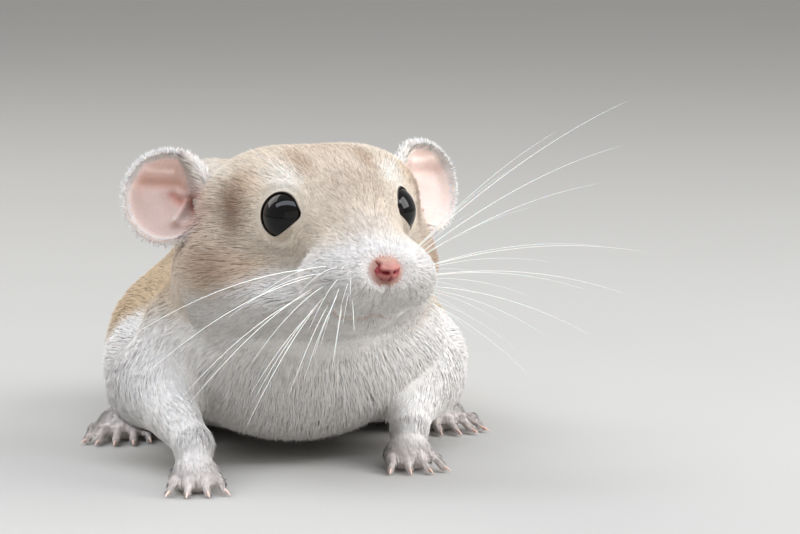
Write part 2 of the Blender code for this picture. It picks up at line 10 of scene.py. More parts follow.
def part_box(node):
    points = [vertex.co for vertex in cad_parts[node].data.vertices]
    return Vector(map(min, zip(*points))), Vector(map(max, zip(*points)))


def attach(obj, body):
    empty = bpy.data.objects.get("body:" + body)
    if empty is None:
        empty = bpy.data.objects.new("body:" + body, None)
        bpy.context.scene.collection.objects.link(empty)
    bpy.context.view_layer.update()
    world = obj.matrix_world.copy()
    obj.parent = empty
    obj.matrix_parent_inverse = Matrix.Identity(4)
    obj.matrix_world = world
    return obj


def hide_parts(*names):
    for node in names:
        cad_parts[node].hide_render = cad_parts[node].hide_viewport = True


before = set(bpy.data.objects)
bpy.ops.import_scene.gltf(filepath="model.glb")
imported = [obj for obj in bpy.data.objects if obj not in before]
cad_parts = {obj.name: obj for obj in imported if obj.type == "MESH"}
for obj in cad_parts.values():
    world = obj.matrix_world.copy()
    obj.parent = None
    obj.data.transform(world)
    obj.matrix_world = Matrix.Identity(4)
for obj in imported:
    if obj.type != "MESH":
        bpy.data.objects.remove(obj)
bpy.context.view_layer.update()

# The animal's driving sizes, as in the solids
animal = {
    "headPlace": (3.0, -36.0, 30.0), "headTurn": 11.0, "headLift": 5.0,
    "eyeCentre": (5.5, 0.9, -0.6), "eyeAxis": (0.78, -0.61, 0.12), "eyeRadius": 2.9,
    "trunkSide": 1.6, "trunkWidth": 40.0, "trunkHeight": 27.0, "tailLength": 48.0,
}
sides = {"left": 1, "right": -1}
headFrame = (
    Matrix.Translation(animal["headPlace"])
    @ Matrix.Rotation(math.radians(animal["headTurn"]), 4, "Z")
    @ Matrix.Rotation(math.radians(-animal["headLift"]), 4, "X")
)
headTurn = np.array(headFrame.to_3x3())
eyeCentre = Vector(animal["eyeCentre"])
eyeAxis = Vector(animal["eyeAxis"]).normalized()


def boxMiddle(node):
    low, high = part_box(node)
    return (low + high) / 2


# The eyes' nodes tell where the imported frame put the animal
eyesInRow = (boxMiddle("eye_left") + boxMiddle("eye_right")) / 2
eyesHere = headFrame @ Vector((0, eyeCentre.y, eyeCentre.z))
toRow = Matrix.Scale(0.001, 4) @ Matrix.Translation(eyesInRow * 1000 - eyesHere)
rowShift = np.array(toRow.translation)


def mirrored(point, side):
    return Vector((point[0] * side, point[1], point[2]))


def toLinear(hexColour):
    channels = [int(hexColour[at:at + 2], 16) / 255 for at in (0, 2, 4)]
    return np.array([c / 12.92 if c <= 0.04045 else ((c + 0.055) / 1.055) ** 2.4 for c in channels])


def mixed(colours, other, share):
    # Colours, or directions, drawn towards another by the share of each
    return colours + (other - colours) * np.reshape(share, (-1, 1))


def smoothStep(values, low, high):
    share = np.clip((values - low) / (high - low), 0, 1)
    return share * share * (3 - 2 * share)


def softMin(first, second, blend):
    # The smaller of two distances, rounded over where they meet
    meeting = np.clip(blend - np.abs(first - second), 0, None) / blend
    return np.minimum(first, second) - meeting * meeting * blend / 4


def unit(vectors):
    return vectors / (np.linalg.norm(vectors, axis=1)[:, None] + 1e-9)


def alongSegment(points, start, end):
    # The share of the way from start to end that lies nearest to each point, and how far off it is
    along = end - start
    share = np.clip((points - start) @ along / (along @ along), 0, 1)
    return share, np.linalg.norm(points - start - share[:, None] * along, axis=1)


def lineDistance(points, line):
    ends = [np.array(point) for point in line]
    return np.min([alongSegment(points, *pair)[1] for pair in zip(ends, ends[1:])], axis=0)


def fromFront(local):
    # Across and up as seen from the front, the same on both sides
    return np.column_stack([np.abs(local[:, 0]), local[:, 2]])


def inSpace(points, space):
    inverse = np.array(space.inverted())
    return points @ inverse[:3, :3].T + inverse[:3, 3]


def outOfSpace(local, space):
    matrix = np.array(space)
    return local @ matrix[:3, :3].T + matrix[:3, 3]


# Coat zones: depth of the skin under the coat's outside, hair length and width in mm, tufts to the
# square mm, and lift, the degrees that a hair stands off the skin at its root
zoneKeys = ("depth", "hair", "width", "density", "lift")
coatZones = {
    "muzzle": (0.28, 1.1, 0.075, 84, 11), "lid": (0.28, 0.8, 0.065, 74, 8),
    "face": (0.35, 1.7, 0.085, 60, 7), "crown": (0.42, 2.2, 0.090, 50, 7),
    "cheek": (0.5, 2.4, 0.095, 44, 7), "earRoot": (0.45, 2.5, 0.080, 46, 10),
    "trunk": (0.7, 3.3, 0.130, 20, 6), "leg": (0.45, 2.0, 0.105, 32, 7),
    "foot": (0.2, 1.5, 0.075, 62, 8), "toe": (0.14, 0.9, 0.055, 80, 7),
    "tailRoot": (0.4, 2.2, 0.110, 24, 6), "tail": (0.2, 1.5, 0.070, 14, 9),
}
coatZones = {zone: dict(zip(zoneKeys, values)) for zone, values in coatZones.items()}


# Forms: the ellipsoids, tapered limbs and lid rings of the solids, with softer ear roots and whisker
# pads, each with its zone and the way its hair lies, or none on the head, where headLie gives it

def ellipsoid(zone, centre, radii, blend=3.0, space=None, tilt=0, lie=None):
    place = (space or Matrix.Identity(4)) @ Matrix.Translation(centre)
    place = place @ Matrix.Rotation(math.radians(tilt), 4, "X")
    return {
        "kind": "ellipsoid", "zone": zone, "place": place, "radii": Vector(radii), "blend": blend,
        "lie": lie,
    }


def limb(zone, start, end, startRadius, endRadius, blend=2.0):
    start, end = Vector(start), Vector(end)
    return {
        "kind": "limb", "zone": zone, "ends": (start, end), "radii": (startRadius, endRadius),
        "blend": blend, "lie": (end - start).normalized(),
    }


def lidRing(side):
    axis = mirrored(eyeAxis, side)
    place = headFrame @ Matrix.Translation(mirrored(eyeCentre + 1.1 * eyeAxis, side))
    place = place @ axis.to_track_quat("Z", "Y").to_matrix().to_4x4()
    return {
        "kind": "ring", "zone": "lid", "place": place, "radii": (3.05, 0.65), "blend": 0.9,
        "lie": None,
    }


# Zone, middle, half sizes and blend of the head's ellipsoids on its middle line and on each side
middleBlobs = [
    ("crown", (0, 9.0, -1.8), (11.2, 12.5, 7.6), 3),
    ("crown", (0, 8.0, 1.2), (9.6, 9.0, 5.2), 3),
    ("face", (0, 1.5, -1.2), (5.6, 9.5, 5.4), 3),
    ("face", (0, -3.0, -2.9), (4.2, 7.5, 3.1), 3),
    ("muzzle", (0, -5.8, -6.1), (4.8, 8.0, 4.0), 2),
    ("muzzle", (0, -3.8, -10.4), (3.5, 5.4, 2.6), 1.5),
    ("cheek", (0, 6.0, -9.2), (9.5, 9.0, 5.0), 3),
]
sideBlobs = [
    ("crown", (5.4, 9.6, 1.3), (5.4, 7.4, 4.6), 3),
    ("cheek", (7.9, 12.4, -6.8), (6.9, 9.2, 6.4), 3),
    ("muzzle", (3.6, -8.0, -7.1), (3.3, 4.6, 3.3), 3),
    ("earRoot", (9.2, 15.8, 1.8), (2.8, 2.3, 3.2), 4),
]


def headForms():
    forms = [ellipsoid(*blob, headFrame) for blob in middleBlobs]
    for side in sides.values():
        for zone, centre, radii, blend in sideBlobs:
            forms.append(ellipsoid(zone, mirrored(centre, side), radii, blend, headFrame))
        forms.append(lidRing(side))
    return forms


def trunkForms():
    half = animal["trunkWidth"] / 2
    middle = animal["trunkHeight"] / 2
    across = animal["trunkSide"]
    blobs = [
        ((1.4, -18.5, 21.0), (13.6, 11.5, 11.0)),
        ((0.6, -17.5, 13.5), (15.4, 11.5, 11.8)),
        ((across, -4.0, middle + 2.5), (half * 0.62, 18.0, middle - 0.5)),
        ((across, -1.5, middle * 0.68), (half, 17.0, middle * 0.7)),
        ((across, 7.5, middle - 0.8), (half * 0.73, 14.5, middle - 0.4)),
    ]
    return [ellipsoid("trunk", *blob, 5, lie=Vector((0, 1, -0.5))) for blob in blobs]


# Each leg's joints, and the degrees that its toes point to the animal's left
forelegs = {
    "left": {
        "shoulder": (11.0, -16.5, 14.0), "elbow": (15.2, -15.5, 8.4),
        "wrist": (12.4, -24.0, 4.2), "palm": (11.8, -26.8, 1.6), "heading": 8,
    },
    "right": {
        "shoulder": (-11.2, -17.5, 13.8), "elbow": (-15.6, -19.5, 8.8),
        "wrist": (-12.6, -31.6, 4.6), "palm": (-12.6, -34.6, 1.6), "heading": -4,
    },
}
hindlegs = {
    "left": {
        "thigh": (14.0, 2.0, 9.4), "knee": (17.4, -5.5, 8.0),
        "heel": (15.6, 10.0, 2.2), "palm": (19.4, -4.6, 1.6), "heading": 14,
    },
    "right": {
        "thigh": (-11.2, 3.0, 9.4), "knee": (-14.8, -4.5, 8.0),
        "heel": (-13.2, 11.0, 2.2), "palm": (-17.6, -4.0, 1.6), "heading": -16,
    },
}
foreToes = {"count": 4, "spread": 15, "width": 1.25, "length": 3.2, "radius": 0.58, "claw": 1.4}
hindToes = {"count": 5, "spread": 10, "width": 1.2, "length": 4.6, "radius": 0.62, "claw": 1.5}
toeBend = {
    "ahead": 0.6, "outerShorter": 0.07, "rootAbove": 0.7, "knuckleUp": 0.25, "tipSunk": 0.08,
    "clawTip": 0.22,
}


def toeLines(leg, toes):
    # Start, knuckle, tip and claw tip of each toe, fanned out on the floor from the palm
    lines = []
    for number in range(toes["count"]):
        step = number - (toes["count"] - 1) / 2
        angle = math.radians(leg["heading"] + step * toes["spread"])
        ahead = Vector((math.sin(angle), -math.cos(angle), 0))
        start = Vector(leg["palm"]) + Vector((step * toes["width"], -toeBend["ahead"], 0))
        length = toes["length"] * (1 - toeBend["outerShorter"] * step * step)
        start.z = toes["radius"] + toeBend["rootAbove"]
        knuckle = start + ahead * length * 0.5 + Vector((0, 0, toeBend["knuckleUp"]))
        tip = start + ahead * length
        tip.z = toes["radius"] - toeBend["tipSunk"]
        clawTip = tip + ahead * toes["claw"]
        clawTip.z = toeBend["clawTip"]
        lines.append((start, knuckle, tip, clawTip))
    return lines


def toeForms(leg, toes):
    forms = []
    for start, knuckle, tip, _ in toeLines(leg, toes):
        radius = toes["radius"]
        forms.append(limb("toe", start, knuckle, radius * 1.05, radius, 0.5))
        forms.append(limb("toe", knuckle, tip, radius, radius * 0.92, 0.5))
    return forms


pawLie = Vector((0, -1, -0.15))


def forelegForms(leg):
    return [
        limb("leg", leg["shoulder"], leg["elbow"], 5.2, 4.6, 4),
        limb("leg", leg["elbow"], leg["wrist"], 4.5, 2.1, 2.5),
        limb("foot", leg["wrist"], leg["palm"], 2.05, 2.0, 1.2),
        ellipsoid("foot", leg["palm"], (2.7, 2.6, 1.9), 1.0, lie=pawLie),
    ] + toeForms(leg, foreToes)


def hindlegForms(leg):
    return [
        ellipsoid("trunk", leg["thigh"], (7.3, 12.5, 7.7), 4, tilt=12, lie=Vector((0, 0.8, -0.6))),
        limb("leg", leg["knee"], leg["heel"], 4.6, 2.8, 3),
        limb("foot", leg["heel"], leg["palm"], 2.5, 2.2, 1.5),
        ellipsoid("foot", leg["palm"], (2.9, 3.0, 1.8), 1.0, lie=pawLie),
    ] + toeForms(leg, hindToes)


tail = {
    "root": Vector((1.4, 17.0, 8.2)), "widest": 4.7, "bend": 11.0, "drop": 26.0, "steps": 14,
    "swollenBy": 0.18, "tapersFrom": 0.45, "tapersBy": 0.8,
}


def tailPoint(share):
    # The club swells behind its root and tapers from there, in one slow bend
    radius = tail["widest"] * (0.84 + 0.9 * share) if share < tail["swollenBy"] else tail["widest"]
    first = tail["tapersFrom"]
    if share > first:
        radius *= 1 - tail["tapersBy"] * ((share - first) / (1 - first)) ** 1.35
    root = tail["root"]
    height = max(radius - 0.12, root.z - tail["drop"] * share)
    along = root.y + share * animal["tailLength"]
    return Vector((root.x + tail["bend"] * share * share, along, height)), radius


def tailForms():
    steps = tail["steps"]
    points = [tailPoint(step / steps) for step in range(steps + 1)]
    forms = []
    for number, ((start, startRadius), (end, endRadius)) in enumerate(zip(points, points[1:])):
        blend = 4.5 if number < 2 else 0.4
        zone = ("trunk", "tailRoot", "tailRoot", "tail")[min(number, 3)]
        forms.append(limb(zone, start, end, startRadius, endRadius, blend))
    return forms


bodyForms = trunkForms() + headForms() + tailForms()
for name in sides:
    bodyForms += forelegForms(forelegs[name]) + hindlegForms(hindlegs[name])
reach = 5.0


def formDistance(form, points):
    if form["kind"] == "limb":
        share, away = alongSegment(points, *(np.array(end) for end in form["ends"]))
        return away - (form["radii"][0] + (form["radii"][1] - form["radii"][0]) * share)
    local = inSpace(points, form["place"])
    if form["kind"] == "ring":
        radius, thickness = form["radii"]
        return np.hypot(np.hypot(local[:, 0], local[:, 1]) - radius, local[:, 2]) - thickness
    radii = np.array(form["radii"])
    scaled = np.linalg.norm(local / radii, axis=1)
    return scaled * (scaled - 1) / (np.linalg.norm(local / radii**2, axis=1) + 1e-9)


def formBounds(form):
    if form["kind"] == "limb":
        start, end = form["ends"]
        return (start + end) / 2, (end - start).length / 2 + max(form["radii"])
    centre = form["place"].translation
    return centre, sum(form["radii"]) if form["kind"] == "ring" else max(form["radii"])


def bodyDistance(points):
    # From points to the blended surface of all the forms, no further than reach: below 0 is inside
    result = np.full(len(points), reach)
    for form in bodyForms:
        centre, radius = formBounds(form)
        near = np.linalg.norm(points - np.array(centre), axis=1) < radius + reach
        result[near] = softMin(result[near], formDistance(form, points[near]), form["blend"])
    return result


def towardsSurface(points, depth):
    # One step of points to where they lie that deep under the coat's outside
    probe = 0.05
    corners = np.array([(1, -1, -1), (-1, -1, 1), (-1, 1, -1), (1, 1, 1)]) * probe
    slope = sum(corner[None, :] * bodyDistance(points + corner)[:, None] for corner in corners)
    slope = slope / (4 * probe * probe)
    steep = np.clip((slope * slope).sum(axis=1), 0.1, None)
    step = np.clip((bodyDistance(points) + depth) / steep, -1.0, 1.0)
    return points - slope * step[:, None]


# What each point of the skin takes from the forms near it

def headLocal(points):
    return (points - np.array(headFrame.translation)) @ headTurn


def headLie(points):
    # Back from the nose over the whole head, and parted round each eye
    local = headLocal(points)
    lie = unit(local - np.array((0, -13.5, -4.5)))
    lie += np.array((0, 0.55, 0))
    for side in sides.values():
        away = local - np.array(mirrored(eyeCentre, side))
        distance = np.linalg.norm(away, axis=1)
        away = unit(away)
        into = np.clip(-(lie * away).sum(axis=1), 0, None)
        nearness = 1 - smoothStep(distance, 3.2, 7.0)
        lie += away * (into * nearness * 1.2)[:, None]
    return lie @ headTurn.T


def coatAt(points):
    # The zones' values and the hair's lie at the points, mixed from the nearest forms
    mixing = 1.1
    closeness = np.stack([formDistance(form, points).astype(np.float32) for form in bodyForms])
    share = np.exp(-(closeness - closeness.min(axis=0)) / mixing)
    share /= share.sum(axis=0)
    found = {}
    for key in zoneKeys:
        values = np.array([coatZones[form["zone"]][key] for form in bodyForms])
        found[key] = values @ share
    lies = np.array([tuple(form["lie"] or (0, 0, 0)) for form in bodyForms])
    onHead = np.array([form["lie"] is None for form in bodyForms]) @ share
    found["lie"] = share.T @ lies + headLie(points) * onHead[:, None]
    found["onHead"] = onHead
    for zone in ("toe", "tail", "tailRoot"):
        found[zone] = np.array([form["zone"] == zone for form in bodyForms]) @ share
    return found


furColours = {
    "cream": "E3D3BF", "buff": "CDB08A", "white": "EAE6E2", "pale": "ECE5DA", "ash": "C3B2A1",
    "bridge": "D9CBBE", "temple": "D8B899", "smudge": "85634C", "underEye": "E4D4C3",
    "cheekBuff": "E0C2A6", "streak": "A98B74", "cheekBack": "D2B8A2", "crownStreak": "B08E6C",
    "bed": "BFB1AC", "tick": "7C6350", "slate": "A0958C", "pink": "DDB0A2", "rim": "070505",
    "tail": "D3A98F", "toe": "E6C6BA", "earHair": "D8B0A2",
}
furColours = {name: toLinear(value) for name, value in furColours.items()}
# Markings: soft ellipsoids of colour in the head's own frame, each with its middle, half sizes and
# strength, on both sides where it lies off the middle, and laid over those before it
headPatches = [
    ("buff", (0, 14.0, 5.0), (9.0, 7.0, 6.0), 0.8),
    ("cheekBack", (14.0, 14.0, -5.0), (5.0, 8.0, 5.0), 0.7),
    ("ash", (0, -4.6, 2.0), (3.9, 5.2, 3.6), 0.8),
    ("bridge", (0, -10.0, -1.6), (3.0, 2.4, 1.6), 0.8),
    ("crownStreak", (3.6, 0.6, 4.9), (1.2, 5.0, 2.0), 0.65),
    ("crownStreak", (0, 4.0, 6.0), (3.0, 5.0, 2.4), 0.35),
    ("pale", (6.1, -0.2, 3.5), (2.0, 2.8, 1.6), 1.0),
    ("temple", (9.2, 2.9, 3.4), (1.4, 2.0, 2.2), 0.85),
    ("smudge", (10.4, 3.7, 1.0), (1.4, 2.1, 4.6), 0.95),
    ("earHair", (12.0, 8.6, 0.4), (1.6, 2.6, 3.0), 0.8),
    ("cheekBuff", (9.6, 2.6, -6.2), (3.0, 4.0, 2.0), 0.85),
    ("underEye", (7.8, -0.2, -4.0), (2.4, 3.2, 1.0), 0.85),
    ("streak", (12.2, 5.6, -5.6), (2.4, 4.4, 2.6), 0.8),
    ("pale", (10.9, 9.6, 4.9), (2.0, 3.4, 1.8), 0.9),
    ("white", (0, -10.2, -7.6), (8.0, 7.0, 4.6), 1.0),
    ("white", (15.5, 19.0, -3.0), (4.2, 4.0, 6.0), 1.0),
    ("white", (10.8, 13.8, 5.2), (2.4, 3.4, 2.2), 0.6),
    ("white", (6.6, -3.4, -6.4), (3.0, 4.6, 2.4), 0.75),
    ("pink", (0, -12.6, -7.6), (1.5, 1.6, 0.9), 0.5),
    ("bed", (5.2, -10.6, -6.4), (1.6, 3.2, 2.6), 0.75),
]
# Where that share of the hairs have dark tips
tickPatches = [
    ((0, -3.0, 2.4), (4.4, 6.0, 3.4), 0.34),
    ((4.0, 0.6, 4.8), (1.6, 4.0, 2.0), 0.5),
    ((0, 8.0, 6.0), (7.0, 6.0, 3.4), 0.3),
    ((11.5, 4.6, -5.2), (4.0, 6.0, 3.0), 0.28),
    ((8.0, 0.0, -4.2), (3.0, 4.0, 1.6), 0.12),
    ((10.2, 4.5, 1.0), (2.0, 3.0, 4.6), 0.25),
    ((12.0, 8.6, 0.0), (1.6, 2.6, 3.4), 0.3),
]
# Where the whiskers' rows darken the pad, and how far apart the rows are
whiskerBed = ((4.6, -10.6, -7.0), (2.0, 3.2, 2.4), 0.3)
whiskerRow = 0.62


def patchShare(local, middle, halfSizes, strength=1.0):
    folded = np.abs(local[:, 0]) if middle[0] else local[:, 0]
    spot = np.column_stack([folded, local[:, 1], local[:, 2]])
    away = np.linalg.norm((spot - np.array(middle)) / np.array(halfSizes), axis=1)
    return (1 - smoothStep(away, 0.2, 1.5)) * strength


def backShare(points):
    # The buff of the back reaches lower from the shoulders to the rump, over a white underside
    edge = 17.6 - 8.0 * smoothStep(points[:, 1], -14, 6) + np.sin(points[:, 1] * 0.55) * 0.5
    return smoothStep(points[:, 2] - edge, -2.2, 2.6)


def markings(points, zones):
    # The coat's colour at the points and the share of its hairs that have dark tips
    local = headLocal(points)
    back = backShare(points)
    body = mixed(furColours["white"], furColours["buff"], back)
    head = np.tile(furColours["cream"], (len(points), 1))
    for name, *patch in headPatches:
        head = mixed(head, furColours[name], patchShare(local, *patch))
    # Below a line from the mouth back over the cheek the head is white
    line = -4.6 - 0.33 * (local[:, 1] + 4.0) + 0.5 * np.sin(local[:, 1] * 0.8)
    head = mixed(head, furColours["white"], smoothStep(line - local[:, 2], -1.0, 1.8))
    rows = 0.5 + 0.5 * np.cos(local[:, 2] * 2 * math.pi / whiskerRow)
    head *= 1 - (patchShare(local, *whiskerBed) * rows)[:, None]
    onHead = smoothStep(zones["onHead"], 0.15, 0.85)
    colour = mixed(body, head, onHead)
    ticked = sum(patchShare(local, *patch) for patch in tickPatches)
    ticked = ticked * onHead + 0.14 * back * (1 - onHead)
    pinkTail = (zones["tail"] + zones["tailRoot"]) * smoothStep(points[:, 1], 19, 33) * 0.85
    colour = mixed(colour, furColours["tail"], pinkTail)
    colour = mixed(colour, furColours["toe"], zones["toe"] * 0.35)
    return colour, np.clip(ticked, 0, 0.6)


# Mesh helpers

def linked(name, data):
    obj = bpy.data.objects.new(name, data)
    bpy.context.scene.collection.objects.link(obj)
    return obj


def fromBmesh(name, bm):
    mesh = bpy.data.meshes.new(name)
    bm.to_mesh(mesh)
    bm.free()
    return linked(name, mesh)


def vectorsOf(mesh, kind="co"):
    values = np.empty(len(mesh.vertices) * 3)
    mesh.vertices.foreach_get(kind, values)
    return values.reshape(-1, 3)


def setPoints(mesh, points):
    mesh.vertices.foreach_set("co", points.ravel())
    mesh.update()


def orderFaces(mesh):
    # Puts the faces in the order of their corners, as bmesh may leave them in another each run
    faces = [tuple(face.vertices) for face in mesh.polygons]
    starts = [face.index(min(face)) for face in faces]
    faces = sorted(face[start:] + face[:start] for face, start in zip(faces, starts))
    points = vectorsOf(mesh).tolist()
    mesh.clear_geometry()
    mesh.from_pydata(points, [], faces)


def ball(name, segments, rings):
    bm = bmesh.new()
    bmesh.ops.create_uvsphere(bm, u_segments=segments, v_segments=rings, radius=1)
    obj = fromBmesh(name, bm)
    orderFaces(obj.data)
    return obj


def setTint(mesh, name, colours):
    layer = mesh.color_attributes.new(name, "FLOAT_COLOR", "POINT")
    whole = np.ones((len(colours), 4), np.float32)
    whole[:, :3] = colours
    layer.data.foreach_set("color", whole.ravel())


def faceOutwards(mesh):
    bm = bmesh.new()
    bm.from_mesh(mesh)
    bmesh.ops.recalc_face_normals(bm, faces=bm.faces[:])
    bm.to_mesh(mesh)
    bm.free()


def unwrap(obj):
    # Alone, as the loaded nodes are left selected and would share its map
    bpy.ops.object.select_all(action="DESELECT")
    bpy.context.view_layer.objects.active = obj
    obj.select_set(True)
    obj.data.uv_layers.new(name="OFBake")
    bpy.ops.object.mode_set(mode="EDIT")
    bpy.ops.mesh.select_all(action="SELECT")
    bpy.ops.uv.smart_project(angle_limit=1.15, island_margin=0.004, scale_to_bounds=True)
    bpy.ops.object.mode_set(mode="OBJECT")
    obj.select_set(False)


def finishPiece(obj, material, nodes):
    # Puts a piece in the row's place, gives it its material and hides the nodes that it stands for
    obj.data.shade_smooth()
    obj.data.transform(toRow)
    obj.data.materials.append(material)
    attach(obj, "root")
    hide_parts(*nodes)


# Materials

def addNode(tree, kind, settings=None, links=None):
    node = tree.nodes.new(kind)
    for name, value in (settings or {}).items():
        if name in node.inputs:
            node.inputs[name].default_value = value
        else:
            setattr(node, name, value)
    for name, source in (links or {}).items():
        tree.links.new(source, node.inputs[name])
    return node


def makeMaterial(name, surface, tint=None, grain=0, detail=1.0, darkest=1.0, bump=0, colours=()):
    # A surface with a painted tint, or with noise between two colours. The noise has grains of that
    # many millimetres, darkens the tint a little, and roughens the surface where bump is given.
    material = bpy.data.materials.new(name)
    material.use_nodes = True
    tree = material.node_tree
    shader = tree.nodes["Principled BSDF"]
    for key, value in surface.items():
        shader.inputs[key].default_value = value
    if tint:
        base = addNode(tree, "ShaderNodeAttribute", {"attribute_name": tint}).outputs["Color"]
    if grain:
        spot = addNode(tree, "ShaderNodeTexCoord")
        noise = addNode(
            tree, "ShaderNodeTexNoise",
            {"Scale": 1000 / grain, "Detail": detail, "Roughness": 0.6 if bump else 0.5},
            {"Vector": spot.outputs["Object"]},
        ).outputs["Fac"]
    if bump:
        settings = {"Strength": bump, "Distance": grain * 0.0004}
        relief = addNode(tree, "ShaderNodeBump", settings, {"Height": noise})
        tree.links.new(relief.outputs["Normal"], shader.inputs["Normal"])
    if colours:
        ramp = addNode(tree, "ShaderNodeValToRGB", links={"Fac": noise})
        for stop, colour in zip(ramp.color_ramp.elements, colours):
            stop.color = (*colour, 1)
        base = ramp.outputs["Color"]
    elif grain:
        settings = {"From Min": 0.3, "From Max": 0.7, "To Min": darkest, "To Max": 1.0}
        shade = addNode(tree, "ShaderNodeMapRange", settings, {"Value": noise})
        base = addNode(
            tree, "ShaderNodeVectorMath", {"operation": "SCALE"},
            {"Vector": base, "Scale": shade.outputs["Result"]},
        ).outputs["Vector"]
    tree.links.new(base, shader.inputs["Base Color"])
    return material


# Downy skin: matt, with the coat's colour where the short underfur grows
skinMaterial = makeMaterial("downySkin", {
    "Roughness": 0.7, "IOR": 1.45, "Specular IOR Level": 0.3,
    "Subsurface Weight": 0.12, "Subsurface Radius": (1.0, 0.4, 0.25), "Subsurface Scale": 0.0006,
}, "skinTint", grain=0.22, detail=2.0, darkest=0.82, bump=0.5)
# Soft fur: keratin hairs, each a dull sheen, lighter and darker from tuft to tuft
furMaterial = makeMaterial("softFur", {
    "Roughness": 0.62, "IOR": 1.55, "Specular IOR Level": 0.25,
    "Sheen Weight": 0.25, "Sheen Roughness": 0.45, "Sheen Tint": (1.0, 0.97, 0.93, 1),
}, "furTint", grain=0.5, darkest=0.88)
# A polished glass eye, near black
eyeMaterial = makeMaterial("polishedGlass", {
    "Roughness": 0.03, "IOR": 1.52, "Specular IOR Level": 0.24,
}, "eyeTint")
# Moist bare skin, pebbled in grains of about 0.2 mm
noseMaterial = makeMaterial("moistNoseSkin", {
    "Roughness": 0.42, "IOR": 1.4, "Specular IOR Level": 0.5,
    "Subsurface Weight": 0.25, "Subsurface Radius": (1.0, 0.35, 0.2), "Subsurface Scale": 0.0005,
}, "noseTint", grain=0.2, detail=3.0, darkest=0.85, bump=0.7)
# Thin living skin, translucent, so that light from behind glows pink through it
earMaterial = makeMaterial("thinEarSkin", {
    "Roughness": 0.55, "IOR": 1.4, "Specular IOR Level": 0.35, "Sheen Weight": 0.45,
    "Subsurface Weight": 0.4, "Subsurface Radius": (1.0, 0.45, 0.3), "Subsurface Scale": 0.0009,
}, "earTint", grain=0.3, detail=3.0, darkest=0.92, bump=0.25)
# Clear keratin, white where it thickens
whiskerMaterial = makeMaterial("whiskerKeratin", {
    "Roughness": 0.35, "IOR": 1.55, "Subsurface Weight": 0.3, "Subsurface Scale": 0.0003,
}, grain=3.0, colours=(toLinear("E4DED4"), toLinear("FBF9F6")))
# Pale horn, clearer and pinker in patches
clawMaterial = makeMaterial("paleHorn", {
    "Roughness": 0.3, "IOR": 1.54, "Subsurface Weight": 0.3, "Subsurface Scale": 0.0003,
}, grain=0.6, detail=2.0, colours=(toLinear("D9B3A2"), toLinear("F1DED2")))


# Skin: the voxel shell of the forms, drawn onto their blended surface under the coat

skin = {
    "voxel": 0.5, "rounds": 5, "laterRounds": 2, "floor": 0.03,
    "aroundEye": 4.4, "lids": 3.2, "lidEdge": (2.9, 1.2),       # mm from the gaze where faces are split
    "aheadOf": 5.5, "aroundLips": 1.1,                          # and round the mouth's lines
    "mouthWidth": 0.34, "mouthDepth": 0.42, "mouthFrom": (3.5, 6.0), "cleftShare": 0.8,
    "noseDent": 0.75, "dentEdge": (0.9, 1.8), "dentFrom": (9.5, 11.0),
    "lipsWidth": 0.3, "lipsFrom": (4, 6),
}
lid = {
    "thickness": 0.17, "ballCover": 0.3,                        # lid over the ball, and skin under it
    "reach": 4.2, "bend": 2.5, "slope": 1.25, "blend": 0.35,    # how the lid runs out into the face
    "wide": 2.22, "high": 2.28, "edge": (0.12, 0.08),           # half sizes of the eye's opening
    "lower": 1.94, "lowerTurn": -50, "lowerBlend": 0.9,         # how near the middle the lower lid comes
    "canthus": 0.26, "canthusTurn": 0.12, "canthusWidth": 0.24,
    "rimWidth": 0.08, "rimHigher": 0.07, "rimFade": 0.16,       # the bare dark edge
}
# The nose pad, which the skin sinks behind, with the nostril and the cleft let into it. The pad is
# paler towards the top; the nostril colour is dark red skin with painted shade, also in the cleft, and
# edge is painted shade along the pad's lower edge
nose = {
    "centre": (0.1, -12.5, -5.9), "radii": (1.7, 1.6, 1.24), "nostrilDepth": 0.55, "nostrilWide": 0.21,
    "cleftDepth": 0.2, "cleftWide": 0.11, "swelling": 0.12, "swellingWide": 0.34, "bumps": 0.05,
    "pad": "B67970", "pale": "B48E81", "nostril": "8E2F33", "edge": "92504C",
}
# The cleft under the nose and the line of the lips, seen from the front: across and up, in mm
cleftLine = [(0, -7.0), (0, -10.5)]
lipLine = [(0, -10.5), (0.9, -10.9), (2.0, -11.05), (3.2, -10.7), (4.2, -9.9)]


def startMesh():
    bm = bmesh.new()
    for form in bodyForms:
        if form["kind"] == "limb":
            start, end = form["ends"]
            first, last = (radius - coatZones[form["zone"]]["depth"] for radius in form["radii"])
            for point, radius in ((start, first), (end, last)):
                place = Matrix.Translation(point)
                bmesh.ops.create_icosphere(bm, subdivisions=3, radius=radius, matrix=place)
            along = end - start
            turn = along.to_track_quat("Z", "Y").to_matrix().to_4x4()
            bmesh.ops.create_cone(
                bm, cap_ends=True, segments=24, radius1=first, radius2=last, depth=along.length,
                matrix=Matrix.Translation((start + end) / 2) @ turn,
            )
        elif form["kind"] == "ellipsoid":
            place = form["place"] @ Matrix.Diagonal((*form["radii"], 1))
            bmesh.ops.create_icosphere(bm, subdivisions=4, radius=1, matrix=place)
    obj = fromBmesh("gerbilSkin", bm)
    remesh = obj.modifiers.new("voxels", "REMESH")
    remesh.mode = "VOXEL"
    remesh.voxel_size = skin["voxel"]
    obj.data = bpy.data.meshes.new_from_object(
        obj.evaluated_get(bpy.context.evaluated_depsgraph_get())
    )
    obj.modifiers.clear()
    return obj


def smoothed(points, edges, valence, share=0.5):
    total = np.zeros_like(points)
    np.add.at(total, edges[:, 0], points[edges[:, 1]])
    np.add.at(total, edges[:, 1], points[edges[:, 0]])
    return points * (1 - share) + total / valence * share


